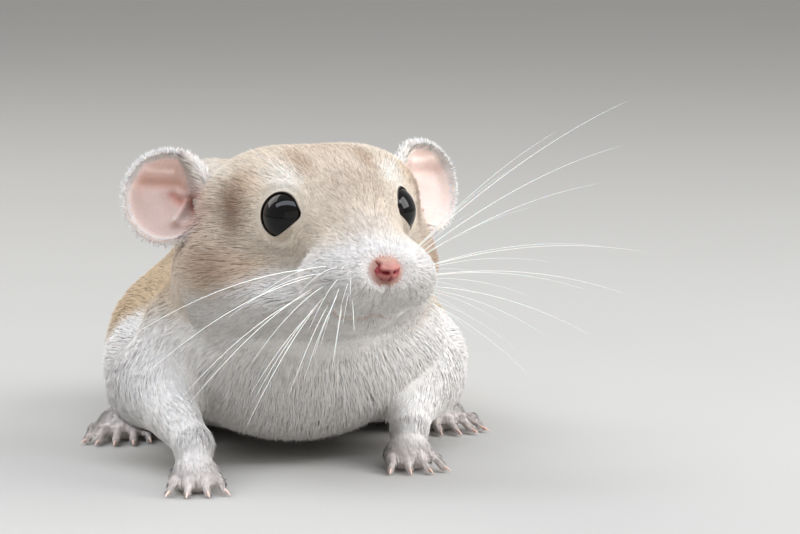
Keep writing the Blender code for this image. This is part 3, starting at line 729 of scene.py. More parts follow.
def settle(mesh, rounds):
    # Draws the vertices onto the body, each as deep as its zone says, and evens them out
    points = vectorsOf(mesh)
    edges = np.empty(len(mesh.edges) * 2, int)
    mesh.edges.foreach_get("vertices", edges)
    edges = edges.reshape(-1, 2)
    valence = np.bincount(edges.ravel(), minlength=len(points))[:, None]
    depth = coatAt(points)["depth"]
    for number in range(rounds):
        points = towardsSurface(points, depth)
        if number < rounds - 1:
            points = smoothed(points, edges, valence)
    points[:, 2] = np.maximum(points[:, 2], skin["floor"])
    setPoints(mesh, points)


def eyeSpace(side):
    # The eye's own frame: x ahead to the nose, y up and z out along the gaze
    out = mirrored(eyeAxis, side)
    ahead = Vector((0, -1, 0))
    ahead = (ahead - out * ahead.dot(out)).normalized()
    up = out.cross(ahead) * side * -1
    turn = Matrix((ahead, up, out)).transposed().to_4x4()
    return headFrame @ Matrix.Translation(mirrored(eyeCentre, side)) @ turn


def openingRadius(angle):
    # The edge of the lids round the gaze: an oval, cut lower in front, with a small front corner
    oval = 1 / np.hypot(np.cos(angle) / lid["wide"], np.sin(angle) / lid["high"])
    turned = np.cos(angle - math.radians(lid["lowerTurn"]))
    chord = np.where(turned > 0.2, lid["lower"] / np.clip(turned, 0.2, None), 9.0)
    corner = lid["canthus"] * np.exp(-((angle - lid["canthusTurn"]) / lid["canthusWidth"]) ** 2)
    return softMin(oval, chord, lid["lowerBlend"]) + corner


def nearEyes(far, near=0.0):
    def test(points):
        found = np.zeros(len(points), bool)
        for side in sides.values():
            local = inSpace(points, eyeSpace(side))
            across = np.hypot(local[:, 0], local[:, 1])
            found |= (across < far) & (across > near) & (local[:, 2] > 0)
        return found
    return test


def nearMouth(points):
    local = headLocal(points)
    away = lineDistance(fromFront(local), cleftLine + lipLine[1:])
    return (local[:, 1] < -skin["aheadOf"]) & (away < skin["aroundLips"])


def refine(obj, tests):
    # Splits the faces whose middles pass each test, once for each
    bm = bmesh.new()
    bm.from_mesh(obj.data)
    for test in tests:
        chosen = test(np.array([tuple(face.calc_center_median()) for face in bm.faces]))
        edges = list({edge for face, yes in zip(bm.faces, chosen) if yes for edge in face.edges})
        bmesh.ops.subdivide_edges(bm, edges=edges, cuts=1, use_grid_fill=True)
    bm.to_mesh(obj.data)
    bm.free()


def shapeLids(mesh):
    # Skin inside the opening sinks under the ball, and outside it lies over the ball as a lid
    points = vectorsOf(mesh)
    radius, bend = animal["eyeRadius"], lid["bend"]
    inner, outer = lid["edge"]
    for side in sides.values():
        space = eyeSpace(side)
        local = inSpace(points, space)
        across = np.hypot(local[:, 0], local[:, 1])
        near = (across < lid["reach"]) & (local[:, 2] > -0.5)
        spot, across = local[near], across[near]
        edge = openingRadius(np.arctan2(spot[:, 1], spot[:, 0]))
        under = np.sqrt(np.clip((radius - lid["ballCover"]) ** 2 - across**2, 0.0, None))
        high = (radius + lid["thickness"]) ** 2 - np.minimum(across, bend) ** 2
        over = np.sqrt(np.clip(high, 0, None)) - np.clip(across - bend, 0, None) * lid["slope"]
        top = -softMin(-over, -spot[:, 2], lid["blend"])
        opened = 1 - smoothStep(across, edge - inner, edge + outer)
        spot[:, 2] = top + (np.minimum(under, top) - top) * opened
        local[near] = spot
        points[near] = outOfSpace(local, space)[near]
    setPoints(mesh, points)


def shapeMouth(mesh):
    points = vectorsOf(mesh)
    local = headLocal(points)
    front = smoothStep(-local[:, 1], *skin["mouthFrom"])
    groove = np.zeros(len(points))
    for line, deep in ((cleftLine, skin["cleftShare"]), (lipLine, 1.0)):
        away = lineDistance(fromFront(local), line)
        groove = np.maximum(groove, deep * np.exp(-(away / skin["mouthWidth"]) ** 2))
    points -= vectorsOf(mesh, "normal") * (groove * front * skin["mouthDepth"])[:, None]
    # The skin round the nose pad sinks behind it
    across, up = local[:, 0] / nose["radii"][0], (local[:, 2] - nose["centre"][2]) / nose["radii"][2]
    dent = 1 - smoothStep(np.hypot(across, up), *skin["dentEdge"])
    dent *= smoothStep(-local[:, 1], *skin["dentFrom"])
    points += headTurn[:, 1] * (dent * skin["noseDent"])[:, None]
    setPoints(mesh, points)


def rimShare(points):
    # How dark the bare edge of the lids is, and how near a point is to an eye's opening
    dark = np.zeros(len(points))
    edgeAway = np.full(len(points), 99.0)
    for side in sides.values():
        local = inSpace(points, eyeSpace(side))
        angle = np.arctan2(local[:, 1], local[:, 0])
        away = np.hypot(local[:, 0], local[:, 1]) - openingRadius(angle)
        away = np.where(local[:, 2] > 0, away, 99.0)
        wide = lid["rimWidth"] + lid["rimHigher"] * np.sin(angle)
        dark = np.maximum(dark, 1 - smoothStep(away, wide, wide + lid["rimFade"]))
        edgeAway = np.minimum(edgeAway, away)
    return dark, edgeAway


def makeSkin():
    obj = startMesh()
    settle(obj.data, skin["rounds"])
    refine(obj, [nearEyes(skin["aroundEye"]), nearMouth])
    settle(obj.data, skin["laterRounds"])
    refine(obj, [nearEyes(skin["lids"]), nearMouth, nearEyes(*skin["lidEdge"])])
    shapeLids(obj.data)
    shapeMouth(obj.data)
    obj.data.shade_smooth()
    print("skin:", len(obj.data.polygons), "faces")
    unwrap(obj)
    return obj


gerbilSkin = makeSkin()
skinPoints = vectorsOf(gerbilSkin.data)
skinCoat = coatAt(skinPoints)
skinColour, skinTicked = markings(skinPoints, skinCoat)
rimDark, rimAway = rimShare(skinPoints)
skinLocal = headLocal(skinPoints)
lipAway = lineDistance(fromFront(skinLocal), lipLine)
lipShare = np.exp(-(lipAway / skin["lipsWidth"]) ** 2)
lipShare *= smoothStep(-skinLocal[:, 1], *skin["lipsFrom"])
noseSpot = np.array((0, -12.5, -6.0))
print("coat measured on the skin")
underCoat = {"darker": 0.9, "slate": 0.25, "noseEdge": (1.5, 2.2), "lips": 0.6, "pinkDarker": 0.7}


def skinTint():
    # The markings, greyer at the hair roots of the back, pink where the skin is bare
    slate = backShare(skinPoints) * underCoat["slate"]
    tint = mixed(skinColour * underCoat["darker"], furColours["slate"], slate)
    noseAway = np.linalg.norm(skinLocal - noseSpot, axis=1)
    bare = np.maximum(1 - smoothStep(noseAway, *underCoat["noseEdge"]), lipShare * underCoat["lips"])
    tint = mixed(tint, furColours["pink"] * underCoat["pinkDarker"], bare)
    return mixed(tint, furColours["rim"], rimDark)


setTint(gerbilSkin.data, "skinTint", skinTint())


# Coat: closed three-sided tufts of hair, rooted all over the skin and lying along it

coat = {
    "sink": 0.10, "widest": 0.42, "flatness": 0.35, "roundness": 0.25, "tipTurn": 5.0,
    "wander": 9.0, "sway": 9.0, "swaySize": 7.0, "clump": 1.1, "gather": 0.3, "mostPull": 0.22,
    "clumpSize": 5.0, "clumpShift": 0.5, "middlePull": 0.3, "floor": 0.02,
    "lengths": (0.72, 1.15), "lifts": (0.5, 1.5), "mostInPiece": 33000, "patch": 0.0015,
    "tone": 0.055, "warmth": 0.018, "blotch": 0.04, "blotchSize": 3.0, "streak": 0.08,
    "streakSize": 1.5, "darkTips": (0.35, 0.85), "tickPaler": 1.2, "rootDarker": 0.86,
    "rootSlate": 0.35, "colourRange": (0.004, 0.95),
}
dice = np.random.default_rng(11)


def ripple(points, size):
    # A smooth random-looking value from -1 to 1 that changes over about that many millimetres
    turned = points * (2 * math.pi / size)
    first = np.sin(turned[:, 0] * 1.1 + 1.7 * np.sin(turned[:, 1] * 0.63 + 0.4))
    second = np.sin(turned[:, 1] * 0.9 + 1.9 * np.sin(turned[:, 2] * 0.71 + 1.1))
    third = np.sin(turned[:, 2] * 1.2 + 1.6 * np.sin(turned[:, 0] * 0.57 + 2.3))
    return (first + second + third) / 3


def scatter(mesh, density, values):
    # Random roots on a mesh, with its normals, map places and other values read between vertices
    mesh.calc_loop_triangles()
    count = len(mesh.loop_triangles)
    corners = np.empty(count * 3, np.int64)
    mesh.loop_triangles.foreach_get("vertices", corners)
    loops = np.empty(count * 3, np.int64)
    mesh.loop_triangles.foreach_get("loops", loops)
    corners, loops = corners.reshape(-1, 3), loops.reshape(-1, 3)
    points = vectorsOf(mesh)
    a, b, c = (points[corners[:, k]] for k in range(3))
    area = np.linalg.norm(np.cross(b - a, c - a), axis=1) / 2
    wanted = area * density[corners].mean(axis=1)
    number = np.floor(wanted + dice.random(count)).astype(int)
    chosen = np.repeat(np.arange(count), number)
    first, second = dice.random(len(chosen)), dice.random(len(chosen))
    first = np.sqrt(first)
    weights = np.column_stack([1 - first, first * (1 - second), first * second])

    def between(found, ends):
        return (found[ends[chosen]] * weights.reshape(weights.shape + (1,) * (found.ndim - 1))).sum(axis=1)

    roots = {name: between(found, corners) for name, found in values.items()}
    roots["point"] = between(points, corners)
    roots["normal"] = unit(between(vectorsOf(mesh, "normal"), corners))
    places = np.empty(len(mesh.loops) * 2)
    mesh.uv_layers["OFBake"].data.foreach_get("uv", places)
    roots["place"] = between(places.reshape(-1, 2), loops)
    return roots


def pick(roots, keep):
    return {name: found[keep] for name, found in roots.items()}


def alongSkin(vectors, normal):
    return vectors - normal * (vectors * normal).sum(axis=1)[:, None]


def hairShapes(roots):
    # Root, middle and tip of each tuft, along the lie, gathered a little into clumps
    point, normal = roots["point"], roots["normal"]
    along = unit(alongSkin(roots["lie"], normal))
    across = np.cross(along, normal)
    sway = coat["sway"] * ripple(point, coat["swaySize"])
    angle = np.radians(sway + dice.normal(0, coat["wander"], len(point)))
    along = along * np.cos(angle)[:, None] + across * np.sin(angle)[:, None]
    across = np.cross(along, normal)
    length = roots["hair"] * dice.uniform(*coat["lengths"], len(point))
    lift = np.radians(roots["lift"] * dice.uniform(*coat["lifts"], len(point)))
    start = point - normal * coat["sink"]
    middle = start + along * (length * coat["widest"] * np.cos(lift))[:, None]
    middle += normal * (length * coat["widest"] * np.sin(lift) + coat["sink"])[:, None]
    rest = length * (1 - coat["widest"])
    laterLift = lift - np.radians(coat["tipTurn"])
    tip = middle + along * (rest * np.cos(laterLift))[:, None]
    tip += normal * (rest * np.sin(laterLift))[:, None]
    shift = ripple(point, coat["clumpSize"])[:, None] * coat["clumpShift"]
    cells = np.floor((point + shift) / coat["clump"]).astype(int)
    clump = np.unique(cells, axis=0, return_inverse=True)[1].ravel()
    size = np.bincount(clump)[:, None]
    centre = np.column_stack([np.bincount(clump, tip[:, k]) for k in range(3)]) / size
    pull = alongSkin((centre[clump] - tip) * coat["gather"], normal)
    most = length[:, None] * coat["mostPull"]
    pull *= np.minimum(1, most / (np.linalg.norm(pull, axis=1)[:, None] + 1e-9))
    return start, middle + pull * coat["middlePull"], tip + pull, across


# Corners of a tuft: root, left, right and top of its widest part, and tip
tuftFaces = np.array([(0, 1, 2), (0, 2, 3), (0, 3, 1), (4, 2, 1), (4, 3, 2), (4, 1, 3)])
tuftPatch = np.array([(0, -1), (-1, 0), (1, 0), (0, 0.2), (0, 1)])
tuftShade = np.array((0.0, 0.45, 0.45, 0.45, 1.0))


def tuftMesh(name, points, faces):
    # A mesh of triangles straight from the arrays
    mesh = bpy.data.meshes.new(name)
    mesh.vertices.add(len(points))
    mesh.vertices.foreach_set("co", points.astype(np.float32).ravel())
    mesh.loops.add(faces.size)
    mesh.loops.foreach_set("vertex_index", faces.astype(np.int32).ravel())
    mesh.polygons.add(len(faces))
    mesh.polygons.foreach_set("loop_start", np.arange(0, faces.size, 3, dtype=np.int32))
    mesh.update(calc_edges=True)
    return mesh


def layTufts(name, roots):
    # Builds the tufts as joined meshes, each piece short of the most triangles that it may have
    start, middle, tip, across = hairShapes(roots)
    half = (roots["width"] / 2)[:, None]
    normal = roots["normal"]
    points = np.stack([
        start, middle - across * half, middle + across * half,
        middle + normal * half * 2 * coat["flatness"], tip,
    ], axis=1)
    points[:, :, 2] = np.maximum(points[:, :, 2], coat["floor"])
    lean = across * coat["roundness"]
    shading = np.stack([normal, normal - lean, normal + lean, normal, normal], axis=1)
    colours = roots["rootColour"][:, None, :] * (1 - tuftShade[None, :, None])
    colours = colours + roots["tipColour"][:, None, :] * tuftShade[None, :, None]
    places = roots["place"][:, None, :] + tuftPatch[None] * coat["patch"]
    order = np.argsort(roots["point"][:, 1])
    pieces = max(1, math.ceil(len(order) / coat["mostInPiece"]))
    for number, chosen in enumerate(np.array_split(order, pieces)):
        first = (np.arange(len(chosen)) * len(tuftPatch))[:, None, None]
        faces = (tuftFaces[None] + first).reshape(-1, 3)
        mesh = tuftMesh(name, points[chosen].reshape(-1, 3) * 0.001 + rowShift, faces)
        mesh.shade_smooth()
        mesh.normals_split_custom_set_from_vertices(unit(shading[chosen].reshape(-1, 3)))
        setTint(mesh, "furTint", colours[chosen].reshape(-1, 3))
        layer = mesh.uv_layers.new(name="OFBake")
        flatPlaces = places[chosen].reshape(-1, 2)[faces.ravel()]
        layer.data.foreach_set("uv", flatPlaces.astype(np.float32).ravel())
        mesh.materials.append(furMaterial)
        obj = linked(f"{name}{number + 1}" if pieces > 1 else name, mesh)
        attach(obj, "root")
    print(name, len(order), "tufts in", pieces, "pieces")


def colourTufts(roots, colour, ticked, under):
    # Root and tip colours, each tuft a little its own, and some with dark tips
    count = len(colour)
    own = 1 + dice.normal(0, coat["tone"], count)
    own += coat["blotch"] * ripple(roots["point"], coat["blotchSize"])
    own += coat["streak"] * ripple(roots["point"] * np.array((1.0, 0.4, 1.0)), coat["streakSize"])
    warm = dice.normal(0, coat["warmth"], count)
    tip = colour * np.column_stack([own + warm, own, own - warm])
    root = mixed(tip * coat["rootDarker"], furColours["slate"], under * coat["rootSlate"])
    dark = dice.random(count) < ticked
    dark = np.where(dark, dice.uniform(*coat["darkTips"], count), 0)
    tip = mixed(tip, furColours["tick"] * coat["tickPaler"], dark)
    roots["tipColour"] = np.clip(tip, *coat["colourRange"])
    roots["rootColour"] = np.clip(root, *coat["colourRange"])


# Hair on the skin: none on the lids' edges, the nose pad, the lips' line and the soles. It is longer
# and stands out by the ears' openings, and longer and lifted round the pads. By the lids' rims and
# the nose it starts at a least share of its length, which grows to the whole between two distances.
growth = {
    "noseBare": (1.85, 2.0, 1.28), "rimBare": 0.3, "rimDark": 0.9, "lipsBare": 0.75,
    "soleFlat": 0.35, "soleHigh": 2.0, "soleDown": -0.6,
    "byRim": (0.35, 0.3, 3.0), "byNose": (0.4, 1.0, 2.6), "lipsShorter": 0.5,
    "byEar": ((11.6, 8.2, 1.0), (2.6, 3.2, 4.6)), "earLonger": 0.5, "earLift": 1.6, "earOut": 1.5,
    "byPad": ((6.4, -6.4, -7.0), (1.8, 3.0, 3.0)), "padLonger": 0.7, "padLift": 1.2,
}


def shorterNear(away, least, low, high):
    return least + (1 - least) * smoothStep(away, low, high)


def growCoat():
    values = {key: skinCoat[key] for key in ("hair", "width", "lift", "lie")}
    values.update(local=skinLocal, rimAway=rimAway, lips=lipShare, back=backShare(skinPoints))
    values.update(colour=skinColour, ticked=skinTicked)
    density = skinCoat["density"].copy()
    density[skinPoints[:, 2] < growth["soleFlat"]] = 0
    density[rimDark > growth["rimDark"]] = 0
    roots = scatter(gerbilSkin.data, density, values)
    noseAway = np.linalg.norm((roots["local"] - noseSpot) / np.array(growth["noseBare"]), axis=1)
    sole = roots["normal"][:, 2] < growth["soleDown"]
    sole &= roots["point"][:, 2] < growth["soleHigh"]
    keep = (roots["rimAway"] > growth["rimBare"]) & (noseAway > 1.0) & ~sole
    keep &= roots["lips"] < growth["lipsBare"]
    roots = pick(roots, keep)
    local = roots["local"]
    shorter = shorterNear(roots["rimAway"], *growth["byRim"])
    shorter *= shorterNear(noseAway[keep], *growth["byNose"])
    shorter *= 1 - growth["lipsShorter"] * roots["lips"]
    byEar, byPad = patchShare(local, *growth["byEar"]), patchShare(local, *growth["byPad"])
    roots["hair"] = roots["hair"] * shorter * (1 + growth["earLonger"] * byEar)
    roots["hair"] = roots["hair"] * (1 + growth["padLonger"] * byPad)
    roots["lift"] = roots["lift"] * (1 + growth["earLift"] * byEar) * (1 + growth["padLift"] * byPad)
    outwards = np.sign(local[:, 0])[:, None] * headTurn[:, 0]
    roots["lie"] = roots["lie"] + outwards * (byEar * growth["earOut"])[:, None]
    colourTufts(roots, roots["colour"], roots["ticked"], roots["back"])
    layTufts("coatBand", roots)


growCoat()
finishPiece(gerbilSkin, skinMaterial, [
    "head", "muzzle", "lower_jaw", "neck", "torso", "foreleg_left", "foreleg_right",
    "forepaw_left", "forepaw_right", "hindleg_left", "hindleg_right", "hindfoot_left",
    "hindfoot_right", "tail",
])
print("coat grown")


# Eyes: dark wet balls with a slightly fuller cornea
eye = {"segments": 64, "rings": 40, "cornea": 0.08, "dark": "040303", "brown": "100806"}


def makeEye(name, side):
    obj = ball("eyeball" + name.capitalize(), eye["segments"], eye["rings"])
    unitPoints = vectorsOf(obj.data)
    bulge = 1 + eye["cornea"] * smoothStep(unitPoints[:, 2], 0.3, 1.0) / animal["eyeRadius"]
    local = unitPoints * (bulge * animal["eyeRadius"])[:, None]
    brown = 1 - smoothStep(np.abs(unitPoints[:, 2] - 0.62), 0.02, 0.2)
    setPoints(obj.data, outOfSpace(local, eyeSpace(side)))
    setTint(obj.data, "eyeTint", mixed(toLinear(eye["dark"]), toLinear(eye["brown"]), brown))
    faceOutwards(obj.data)
    finishPiece(obj, eyeMaterial, ["eye_" + name])


for name, side in sides.items():
    makeEye(name, side)
print("eyes made")


# Nose: a bare pad with a comma-shaped nostril let into each side and a cleft below
nostrilLine = [(0.78, 0.6), (0.92, 0.15), (0.78, -0.2), (0.3, -0.28)]


def makeNose():
    bm = bmesh.new()
    bmesh.ops.create_icosphere(bm, subdivisions=6, radius=1)
    obj = fromBmesh("nosePad", bm)
    unitPoints = vectorsOf(obj.data)
    x, y, z = unitPoints.T
    away = lineDistance(fromFront(unitPoints), nostrilLine)
    front = smoothStep(-y, -0.35, 0.05)
    nostril = np.exp(-((away / nose["nostrilWide"]) ** 2)) * front
    cleft = np.exp(-((x / nose["cleftWide"]) ** 2)) * smoothStep(-z, 0.25, 0.7) * front
    local = unitPoints * np.array(nose["radii"])
    local[:, 0] *= 1 - 0.3 * smoothStep(-z, -0.1, 1.0) + 0.06 * smoothStep(z, 0.2, 0.9)
    local -= unitPoints * (nostril * nose["nostrilDepth"] + cleft * nose["cleftDepth"])[:, None]
    swelling = np.exp(-((away / nose["swellingWide"]) ** 2)) * (1 - nostril) * nose["swelling"]
    local += unitPoints * (swelling + nose["bumps"] * ripple(unitPoints, 0.7))[:, None]
    setPoints(obj.data, outOfSpace(local, headFrame @ Matrix.Translation(nose["centre"])))
    pad, pale, hole, edge = (toLinear(nose[key]) for key in ("pad", "pale", "nostril", "edge"))
    tint = mixed(pad, pale, smoothStep(z, 0.15, 0.85))
    # Painted shade: the pad is painted dark along its lower edge
    tint = mixed(tint, edge, smoothStep(-z, 0.4, 0.8) * 0.9)
    # The nostrils and the cleft are painted dark red, their skin darkened by painted shade
    tint = mixed(tint, hole, np.clip(nostril * 1.5 + cleft * 0.6, 0, 1))
    setTint(obj.data, "noseTint", tint)
    finishPiece(obj, noseMaterial, ["nose"])


makeNose()
print("nose made")


# Ears: each a thin cup, made from a ball whose front half is pushed back into it

ear = {
    "centre": (14.8, 14.2, 1.4), "axis": (0.45, -0.86, 0.22), "radii": (4.9, 5.15, 2.8), "wall": 0.5,
    "depth": 0.6, "openEdge": (0.82, 0.98), "rimWidth": 0.17, "segments": 160, "rings": 112,
    # pale and shade are painted light and shadow for the folds; the hollow colour is redder skin with
    # painted shade
    "skin": "D0B3A9", "back": "E4D6CB", "edge": "F6E8DF", "shade": "C69C8A", "hollow": "9A5346",
    # folds and paleness for each ear: the far ear shows its folds' painted light and shade more weakly,
    # and its inside is painted paler as painted light
    "red": "C58474", "pale": "D6BFB6", "folds": {"left": 0.4, "right": 1.0},
    "paintedLightShare": {"left": 0.4, "right": 0.0},
    "rimHair": 0.75, "backHair": 1.1, "innerHair": 0.9, "frontHair": 1.8,
    "backDensity": 26.0, "rimDensity": 84.0, "frontDensity": 7.0, "fringeDensity": 40.0,
}
# Folds of the cup's inside: a line in unit steps outwards and up, its width in those steps, its
# height in mm, and its colour with the colour's strength. The colours paint light and shade on the
# relief: pale is painted light on the raised folds, shade is painted shadow in the groove under the
# top fold, and the hollow's dark red is the opening's redder skin with painted shade.
earFolds = [
    ([(0.5, 0.66), (-0.1, 0.64)], 0.12, 0.45, "pale", 0.6),
    ([(0.7, 0.42), (0.2, 0.42), (-0.26, 0.38), (-0.5, 0.1)], 0.13, -0.35, "shade", 0.8),
    ([(0.48, -0.05), (0.18, -0.5)], 0.3, 0.3, "pale", 0.5),
    ([(-0.42, -0.08), (-0.18, -0.52)], 0.1, 0.7, "pale", 0.6),
    ([(-0.27, 0.14), (-0.72, 0.1)], 0.11, 0.3, "pale", 0.4),
    ([(-0.16, -0.56), (-0.7, -0.68)], 0.11, 0.4, "pale", 0.5),
    ([(-0.08, 0.1), (-0.3, -0.06)], 0.12, -0.3, "red", 0.8),
    ([(-0.7, -0.3), (-0.6, -0.1)], 0.19, -1.0, "hollow", 1.0),
]


def earSpace(side):
    way = mirrored(ear["axis"], side)
    turn = way.to_track_quat("Z", "Y").to_matrix().to_4x4()
    return headFrame @ Matrix.Translation(mirrored(ear["centre"], side)) @ turn


def makeEar(name, side):
    obj = ball("earCup" + name.capitalize(), ear["segments"], ear["rings"])
    spot = vectorsOf(obj.data)
    radii = np.array(ear["radii"])
    outside = spot[:, 2] < 1e-6
    flat = np.column_stack([spot[:, 0] * side, spot[:, 1]])
    out = np.linalg.norm(flat, axis=1)
    opened = 1 - smoothStep(out, *ear["openEdge"])
    relief = np.zeros(len(spot))
    tint = np.tile(toLinear(ear["skin"]), (len(spot), 1))
    # Each fold is painted with its colour: painted light on the raised folds, painted shade in the groove
    # and the hollow
    for line, width, height, colour, strength in earFolds:
        near = np.exp(-((lineDistance(flat, line) / width) ** 2))
        relief += height * near * opened
        tint = mixed(tint, toLinear(ear[colour]), near * strength * ear["folds"][name])
    shell = spot * radii
    shell[:, 2] = -(np.abs(spot[:, 2]) * ear["depth"]) * radii[2]
    inner = shell.copy()
    inner[:, :2] *= 1 - ear["wall"] / radii[0]
    inner[:, 2] += ear["wall"] + relief
    outer = shell.copy()
    outer[:, 2] += np.clip(relief, -1.4, 0) - (np.abs(spot[:, 2]) ** 0.5) * 0.25
    local = np.where(outside[:, None], outer, inner)
    top = smoothStep(flat[:, 1], -0.5, 0.8)
    rim = np.exp(-((1 - out) / ear["rimWidth"]) ** 2)
    local[:, 2] += rim * (0.2 + 0.3 * top)
    setPoints(obj.data, outOfSpace(local, earSpace(side)))
    faceOutwards(obj.data)
    # Painted light: the inside of the cup is painted lighter towards the top and darker low down
    tint *= (0.86 + 0.5 * smoothStep(flat[:, 1], 0.0, 0.8))[:, None]
    # Painted light: the far ear's inside is painted paler towards the edge colour
    tint = mixed(tint, toLinear(ear["edge"]), ear["paintedLightShare"][name])
    tint = np.where(outside[:, None], toLinear(ear["back"]), tint)
    edgeShare = np.where(outside, rim, rim ** 3) * (0.6 + 0.35 * top)
    setTint(obj.data, "earTint", mixed(tint, toLinear(ear["edge"]), edgeShare))
    obj.data.shade_smooth()
    growEarHair(obj, name, side, flat, outside, rim, out)
    finishPiece(obj, earMaterial, ["ear_" + name])


def growEarHair(obj, name, side, flat, outside, rim, out):
    # White down on the back and the rim, thicker where the rim meets the head, and fine rosy hairs
    # that reach over the cup from the head
    unwrap(obj)
    turn = np.array(earSpace(side).to_3x3()).T
    count = len(flat)
    nearHead = smoothStep(-flat[:, 0], 0.15, 0.8) * ~outside
    fringe = nearHead * smoothStep(flat[:, 1], -0.1, 0.4) * smoothStep(out, 0.55, 0.8)
    top = smoothStep(flat[:, 1], -0.6, 0.5)
    onRim = (rim > 0.6) & ~outside
    outwards = unit(np.column_stack([flat[:, 0] * side, flat[:, 1], np.zeros(count)]))
    outwards = mixed(outwards, np.array((side, 0.1, 0.0)), nearHead) + np.array((0, 0.1, 0.2))
    hair = np.where(outside, ear["backHair"], ear["innerHair"])
    hair = np.where(onRim, ear["rimHair"] * (0.6 + 0.4 * top), hair)
    hair += (ear["frontHair"] - hair) * nearHead
    density = ear["backDensity"] * (outside & (rim < 0.5)) * (1 - 0.3 * smoothStep(out, 0.0, 0.5))
    rimDensity = ear["rimDensity"] * (0.5 + 0.5 * top) * smoothStep(out, 0.86, 0.96)
    density = np.where(onRim, rimDensity, density)
    density = density + ear["frontDensity"] * nearHead + ear["fringeDensity"] * fringe
    roots = scatter(obj.data, density, {
        "hair": hair, "lift": np.where(onRim, 12.0, 14.0), "lie": outwards @ turn,
        "width": np.where(outside | onRim, 0.08, 0.04), "cream": np.maximum(outside * (1 - rim), fringe),
        "rosy": nearHead * (1 - fringe),
    })
    roots = pick(roots, bodyDistance(roots["point"]) > -0.4)
    colour = mixed(furColours["white"], furColours["cream"], roots["cream"] * 0.6)
    colour = mixed(colour, furColours["earHair"], roots["rosy"])
    colourTufts(roots, colour, np.zeros(len(colour)), np.zeros(len(colour)))
    layTufts("earDown" + name.capitalize(), roots)


for name, side in sides.items():
    makeEar(name, side)
print("ears made")


# Whiskers: fine tapered rods in rows down each pad, with a few over the eyes

whisker = {
    "rows": 6, "columns": 4, "frontLength": 12.0, "backLength": 37.0, "lengths": (0.9, 1.02),
    "sweep": {"left": (42, 76), "right": (20, 50)}, "turnAbout": 5,
    "rise": {"left": (46, -16), "right": (8, -22)}, "sag": (0.20, 0.32), "backSag": 0.10,
    "lowestShare": 0.45, "root": (2.9, -9.9, -5.8), "bed": (0.9, 3.4, 2.8),
    "thickness": 0.11, "rings": 12, "corners": 5,
    "brow": [(38, 7.5), (52, 6.0)], "browRoot": (4.6, 0.2, 2.4), "browThickness": 0.08, "browSag": 0.1,
}


def taperedRod(bm, points, radii, corners):
    # A closed rod through the points that ends in a point, from one circle extruded along them
    last = rim = None
    for number, radius in enumerate(radii):
        along = points[number + 1] - points[max(number - 1, 0)]
        turn = along.to_track_quat("Z", "Y").to_matrix().to_4x4()
        place = Matrix.Translation(points[number]) @ turn @ Matrix.Scale(radius, 4)
        if rim is None:
            made = bmesh.ops.create_circle(bm, cap_ends=True, segments=corners, radius=1, matrix=place)
            rim = list({edge for vert in made["verts"] for edge in vert.link_edges})
        else:
            grown = bmesh.ops.extrude_edge_only(bm, edges=rim)["geom"]
            ends = [item for item in grown if isinstance(item, bmesh.types.BMVert)]
            rim = [e for e in grown if isinstance(e, bmesh.types.BMEdge) and e.is_boundary]
            bmesh.ops.transform(bm, matrix=place @ last.inverted(), verts=ends)
        last = place
    cap = bmesh.ops.edgeloop_fill(bm, edges=rim)["faces"]
    bmesh.ops.poke(bm, faces=cap)["verts"][0].co = points[-1]


def rods(name, bm):
    bmesh.ops.recalc_face_normals(bm, faces=bm.faces[:])
    obj = fromBmesh(name, bm)
    orderFaces(obj.data)
    return obj


def addWhisker(bm, root, ahead, length, sag, thickness):
    steps = whisker["rings"]
    points = []
    for step in range(steps + 1):
        share = step / steps
        bend = Vector((0, whisker["backSag"], -sag)) * share * share * length
        points.append(headFrame @ (root + ahead * share * length + bend))
    radii = [thickness / 2 * (1 - 0.85 * step / steps) for step in range(steps)]
    taperedRod(bm, points, radii, whisker["corners"])


def padWhisker(bm, spread, name, down, back):
    # One whisker of a pad, from its share of the way down the rows and back along one
    side = sides[name]
    length = whisker["frontLength"]
    length += (whisker["backLength"] - length) * back
    length *= 1 - (1 - whisker["lowestShare"]) * down**1.5
    length *= spread.uniform(*whisker["lengths"])
    top, bottom = whisker["rise"][name]
    about = whisker["turnAbout"]
    rise = math.radians(top + (bottom - top) * down + spread.uniform(-about, about))
    first, last = whisker["sweep"][name]
    sweep = math.radians(first + (last - first) * back + spread.uniform(-about, about))
    ahead = Vector((side * math.sin(sweep), -math.cos(sweep), 0)) * math.cos(rise)
    ahead.z = math.sin(rise)
    wide, long, high = whisker["bed"]
    root = mirrored(Vector(whisker["root"]) + Vector((wide * back, long * back, -high * down)), side)
    least, most = whisker["sag"]
    thickness = whisker["thickness"] * (0.75 + 0.25 * back)
    addWhisker(bm, root, ahead, length, least + (most - least) * down, thickness)


def makeWhiskers():
    spread = random.Random(7)
    bm = bmesh.new()
    rows, columns = whisker["rows"], whisker["columns"]
    for name, side in sides.items():
        for row in range(rows):
            for column in range(columns):
                padWhisker(bm, spread, name, row / (rows - 1), column / (columns - 1))
        for turn, length in whisker["brow"]:
            ahead = Vector((side * 0.55, 0.3, math.sin(math.radians(turn)))).normalized()
            root = mirrored(whisker["browRoot"], side)
            addWhisker(bm, root, ahead, length, whisker["browSag"], whisker["browThickness"])
    finishPiece(rods("whiskers", bm), whiskerMaterial, ["muzzle"])


makeWhiskers()
print("whiskers made")


# Claws: short curved horn, one on each toe
claw = {"radius": 0.25, "taper": 0.14, "rings": 6, "corners": 8, "rooted": 0.4, "arch": 0.34}


